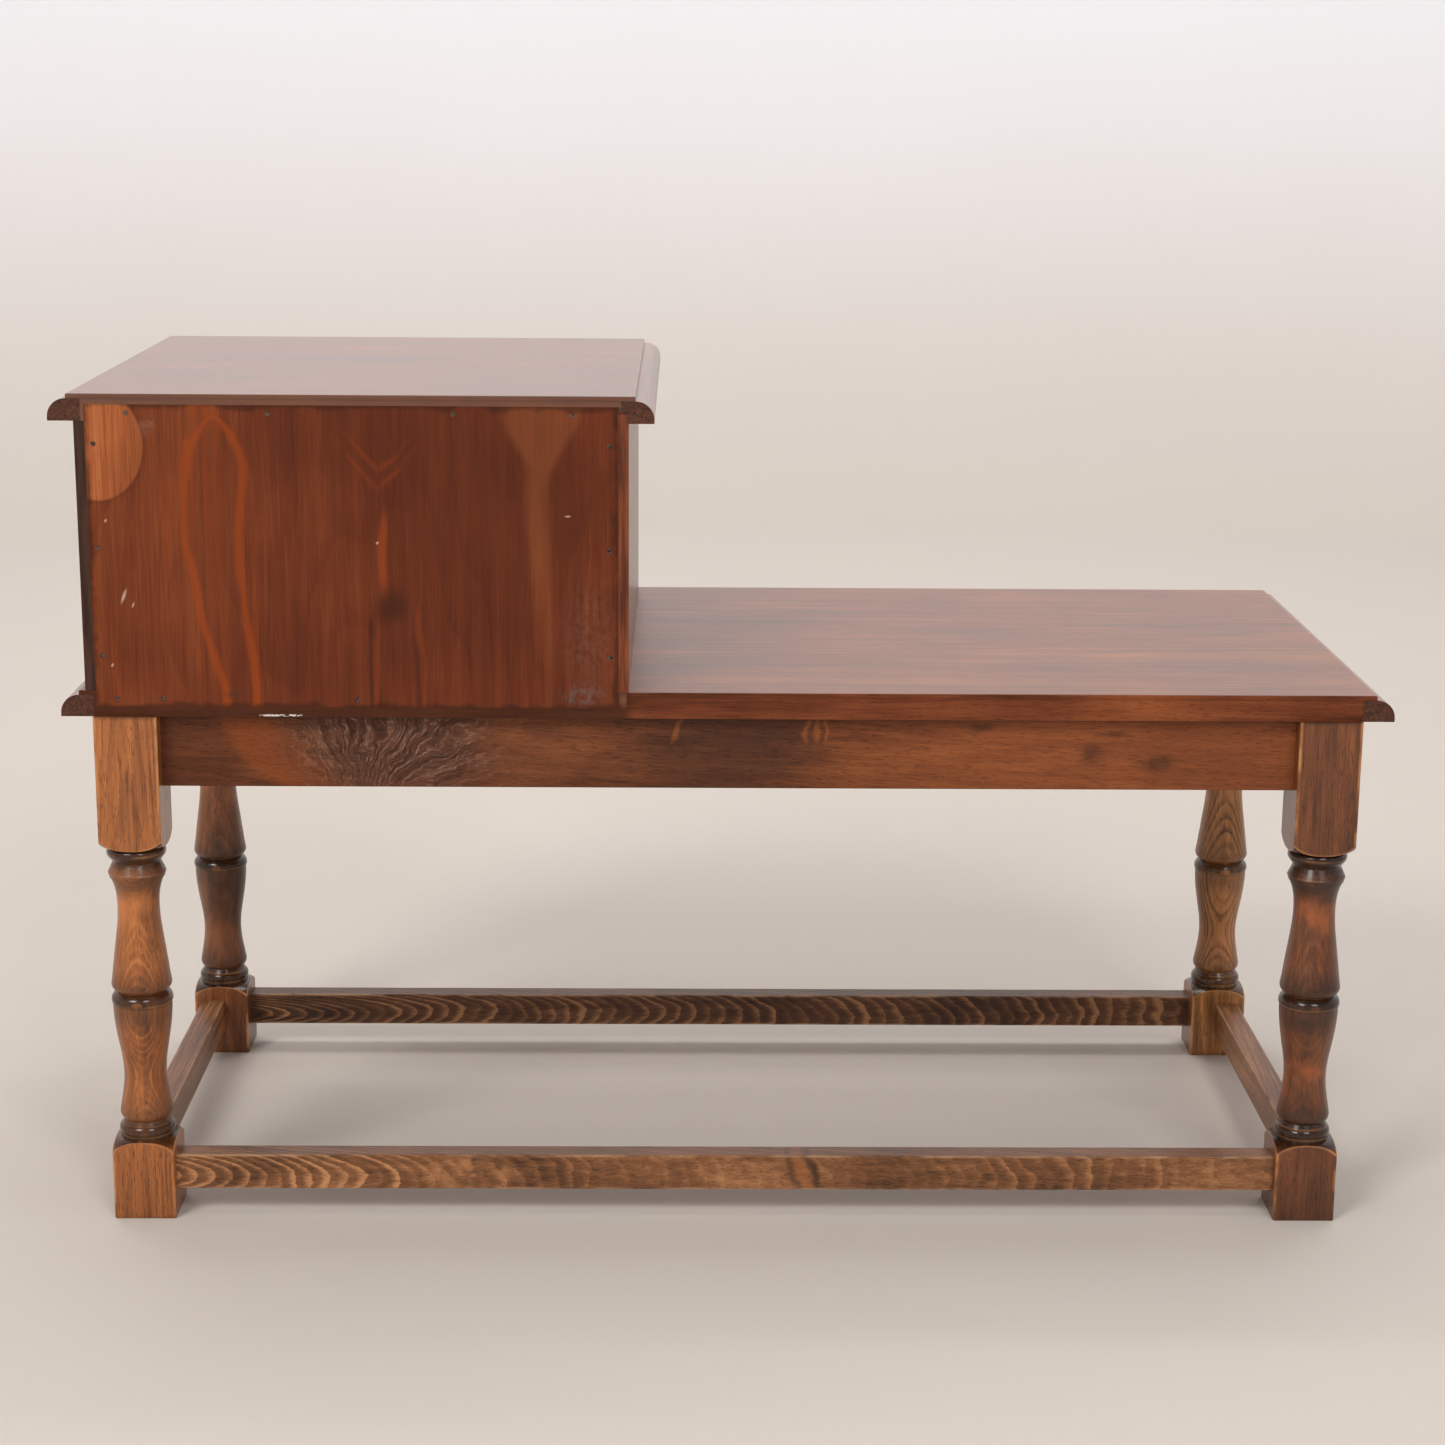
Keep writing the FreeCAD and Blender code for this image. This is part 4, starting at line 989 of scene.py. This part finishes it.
# %% Panel figure
PANEL_POOLS = (((0.190, 0.500), (0.075, 0.085), 0.45), ((0.262, 0.555), (0.060, 0.030), 0.30),
               ((0.100, 0.510), (0.030, 0.040), 0.40), ((0.290, 0.395), (0.050, 0.030), 0.15))
FLAME_PLACE = (0.2305, 0.472)
KNOT_PLACE = (0.2275, 0.4385)
KNOT_TAILS = ((0.2430, 0.0030), (0.2120, 0.0028))
PATCH_PLACE = (0.4205, 0.5465)
BARE_STOPS = ((0.15, (124, 66, 34)), (0.55, (150, 82, 45)), (0.9, (172, 102, 60)))


def panel_knot(f, colour, x, z, wave):
    """The flame above the knot, the knot, and the dark tails below it."""
    flame = spot(f, x, z, FLAME_PLACE, (0.0038, 0.027), 0.5)
    colour = layer(f, both(f, flame, 0.6), colour, shade(PANEL_ORANGE))
    knot = spot(f, x, z, KNOT_PLACE, (0.0100, 0.0090), 0.85)
    colour = layer(f, both(f, knot, 0.7), colour, shade(PANEL_UMBER, 0.8))
    below = fade(f, z, 0.440, 0.428)
    for tail_x, width in KNOT_TAILS:
        tail = both(f, ribbon(f, calc(f, "SUBTRACT", x, tail_x), width), below)
        colour = layer(f, both(f, tail, fade(f, wave, 0.1, 0.7), 0.6), colour, shade(PANEL_UMBER))
        glow = both(f, ribbon(f, calc(f, "SUBTRACT", x, tail_x - 0.0045), width), below)
        colour = layer(f, both(f, glow, 0.24), colour, shade(PANEL_ORANGE))
    return colour


def panel_patch(f, colour, relief):
    """The corner that missed the stain, with a darker rim where the stain stopped."""
    patch = spot(f, f.x, f.z, PATCH_PLACE, (0.0310, 0.0370), 0.035)
    rim = spot(f, f.x, f.z, PATCH_PLACE, (0.0322, 0.0382), 0.05)
    colour = layer(f, both(f, rim, 0.4), colour, shade(PANEL_UMBER, 1.2))
    grain = total(f, (relief, 0.8), (noise(f, f.place, (60.0, 1.0, 14.0), 2.0, 0.5), 0.5), (1.0, -0.15))
    bare = ramp(f, grain, [(where, shade(tint)) for where, tint in BARE_STOPS])
    return layer(f, patch, colour, bare)


def panel_finish():
    """Ground, pools, marks and patch; the wear comes in the next cell."""
    f = Finish("back_panel_finish")
    colour, relief, tone = panel_ground(f)
    wave = noise(f, f.place, (18.0, 1.0, 9.0), 2.0, 0.5)
    ragged = noise(f, f.place, (260.0, 1.0, 30.0), 3.0, 0.6)
    x = total(f, (f.x, 1.0), (wave, 0.012), (ragged, 0.0018), (1.0, -0.0069))
    z = total(f, (f.z, 1.0), (wave, 0.020), (1.0, -0.010))

    for centre, radii, amount in PANEL_POOLS:
        pool = spot(f, x, z, centre, radii, 0.55)
        colour = layer(f, both(f, pool, amount), colour, shade(PANEL_DARK, 0.85))
    arch, inside = arch_mark(f, x, z)
    colour = layer(f, both(f, inside, 0.25), colour, shade(PANEL_DARK))
    colour = layer(f, both(f, arch, 0.66), colour, shade(PANEL_ORANGE))
    colour = layer(f, both(f, chevron_mark(f, x, z), 0.26), colour, shade(PANEL_ORANGE))
    colour = layer(f, both(f, pale_band_mark(f, x, z), 0.26), colour, shade(PANEL_STRAW))
    colour = panel_knot(f, colour, x, z, wave)
    colour = panel_patch(f, colour, relief)
    return worn_panel(f, colour, relief, tone)


# %% [markdown]
# Last come the years in a hall: grime that creeps in from the frame, grey bruises near one corner, and
# a few nicks down to the pale wood. They are small, and they are what makes the sheet look handled.

# %% Panel wear
SCUFFS = (((0.0990, 0.3785), (0.0120, 0.0070), (96, 84, 80), 0.60),
          ((0.0945, 0.4180), (0.0160, 0.0320), (128, 92, 76), 0.24),
          ((0.3865, 0.5600), (0.0045, 0.0060), (140, 106, 90), 0.40),
          ((0.3345, 0.3780), (0.0055, 0.0020), (66, 46, 38), 0.70))
NICKS = (((0.4060, 0.4450), (0.0010, 0.0042)), ((0.4155, 0.3980), (0.0008, 0.0012)),
         ((0.2360, 0.4820), (0.0008, 0.0009)), ((0.1090, 0.5005), (0.0018, 0.0006)),
         ((0.4000, 0.4390), (0.0006, 0.0018)), ((0.4160, 0.4960), (0.0007, 0.0010)))
NICK_LEAN = 0.35
NICK_WOOD = (190, 160, 138)
PANEL_GRIME = (44, 24, 17)


def worn_panel(f, colour, relief, tone):
    """Bruises, nicks and grime laid over the finished sheet, and the finish closed."""
    low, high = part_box("back_panel")
    rub = noise(f, f.place, (240.0, 1.0, 190.0), 4.0, 0.75)
    for centre, radii, grey, amount in SCUFFS:
        mask = both(f, spot(f, f.x, f.z, centre, radii, 0.7), fade(f, rub, 0.15, 0.85))
        colour = layer(f, both(f, mask, amount), colour, shade(grey))
    for centre, radii in NICKS:
        slanted = total(f, (f.x, 1.0), (f.z, NICK_LEAN), (1.0, -NICK_LEAN * centre[1]))
        nick = both(f, spot(f, slanted, f.z, centre, radii, 0.6), fade(f, rub, 0.1, 0.6))
        colour = layer(f, both(f, nick, 0.75), colour, shade(NICK_WOOD))
    to_side = calc(f, "MINIMUM", calc(f, "SUBTRACT", f.x, low.x), calc(f, "SUBTRACT", high.x, f.x))
    to_end = calc(f, "MINIMUM", calc(f, "SUBTRACT", f.z, low.z), calc(f, "SUBTRACT", high.z, f.z))
    creep = noise(f, f.place, (45.0, 1.0, 45.0), 3.0, 0.6)
    to_frame = total(f, (calc(f, "MINIMUM", to_side, to_end), 1.0), (creep, -0.006))
    grime_and_shade = fade(f, to_frame, 0.001, -0.003)
    colour = layer(f, both(f, grime_and_shade, 0.6), colour, shade(PANEL_GRIME))
    roughness = total(f, (tone, 0.14), (grime_and_shade, 0.12), (1.0, 0.42))
    return close(f, colour, roughness, relief, 0.00010, specular=0.12)


dress("back_panel", panel_finish())
print("back panel dressed")

# %% [markdown]
# ## Inside woods
# What nobody sees was left pale: the drawer's sides, back and bottom, the kickers, the stops, the
# dowels and the glue blocks. Bare beech is pinkish straw with tiny darker flecks, and it has no
# lacquer, so it stays dull. The stain function makes it too, with pale colours and a rough surface.

# %% Inner wood finishes
BARE_BEECH = ((150, 108, 72), (190, 148, 106), (216, 180, 138))
INNER_GRAIN = {"glue_blocks": "z", "top_dowels": "z", "drawer_kickers": "y", "drawer_stops": "x",
               "drawer_side_left": "y", "drawer_side_right": "y", "drawer_back": "x", "drawer_bottom": "x"}


def bare_finish(node, grain, seed):
    f = Finish(node + "_finish")
    colour, relief, tone = stained(f, node, grain, BARE_BEECH, heart=(0.08, 0.04), lean=(1.0, 1.2),
                                   ring=0.004, wander=1.2, seed=seed, figure=0.22, mottle=0.24)
    return close(f, colour, total(f, (tone, 0.10), (1.0, 0.52)), relief, 0.00018, specular=0.35)


for number, (name, grain) in enumerate(INNER_GRAIN.items()):
    dress(name, bare_finish(name, grain, 50.0 + 1.9 * number))
print("inner woods dressed", len(INNER_GRAIN))

# %% [markdown]
# ## Drawer front and its applied frame
# The show face of the drawer is stained and lacquered with its grain lying down. Thin strips planted on
# it frame a field: each strip's grain runs along its own length. The shelf under the drawer is stained
# too, because its front edge shows.

# %% Drawer front finishes
def drawer_finish(node, grain, heart, seed):
    """Stain, worn long edges and a thin lacquer."""
    f = Finish(node + "_finish")
    colour, relief, tone = stained(f, node, grain, CASE_STAIN, heart, lean=(0.8, 1.8), ring=0.0042,
                                   wander=1.8, seed=seed, figure=0.26, mottle=0.32)
    worn = long_edge_wear(f, node, grain, RAIL_WEAR_REACH, seed)
    colour = layer(f, both(f, worn, 0.4), colour, shade(RAIL_WEAR, 0.8))
    roughness = total(f, (tone, 0.12), (1.0, 0.26))
    return close(f, colour, roughness, relief, 0.00014, coat=0.4, coat_roughness=0.30, specular=0.3)


dress("cabinet_shelf", drawer_finish("cabinet_shelf", "x", (0.05, 0.06), 68.0))
dress("drawer_front", drawer_finish("drawer_front", "x", (0.02, 0.09), 71.0))
dress("drawer_frame_level", drawer_finish("drawer_frame_level", "x", (0.06, 0.03), 73.0))
dress("drawer_frame_upright", drawer_finish("drawer_frame_upright", "z", (0.05, 0.03), 76.0))
print("drawer front and shelf dressed")

# %% [markdown]
# ## Metal
# Nail and screw heads are plain steel gone brown-grey: dull metal with rust in patches. The drop pulls
# are brass that has lost its lacquer and tarnished in brown patches. Both are one metal shader with
# clouds of tarnish, and only the colours, the size of the clouds and the gloss differ.

# %% Metal finishes
METALNESS = 0.85
STEEL_PIECES = ("back_panel_nails", "seat_screws", "cabinet_screws")
BRASS_PIECES = ("pull_plates", "pull_studs", "pull_nuts", "pull_pins", "pull_drop_left", "pull_drop_right")


def metal_finish(name, bright, tarnish, clouds_per_metre, gloss):
    """Bright metal with clouds of tarnish; the same clouds make it duller and uneven to the touch."""
    f = Finish(name)
    cloud = noise(f, f.place, (clouds_per_metre,) * 3, 3.0, 0.6)
    fine = noise(f, f.place, (2600.0, 2600.0, 2600.0), 2.0, 0.6)
    colour = layer(f, fade(f, cloud, 0.30, 0.80), shade(bright), shade(tarnish))
    f.shader.inputs["Metallic"].default_value = METALNESS
    roughness = total(f, (cloud, 0.22), (fine, 0.08), (1.0, gloss))
    return close(f, colour, roughness, total(f, (fine, 0.5), (cloud, 0.5)), 0.00004)


old_steel = metal_finish("old_steel", (104, 92, 84), (56, 42, 34), 420.0, 0.42)
old_brass = metal_finish("old_brass", (196, 158, 96), (98, 70, 40), 190.0, 0.24)
for name in STEEL_PIECES:
    dress(name, old_steel)
for name in BRASS_PIECES:
    dress(name, old_brass)
print("metal dressed", len(STEEL_PIECES + BRASS_PIECES), "of", len(nodes), "nodes")
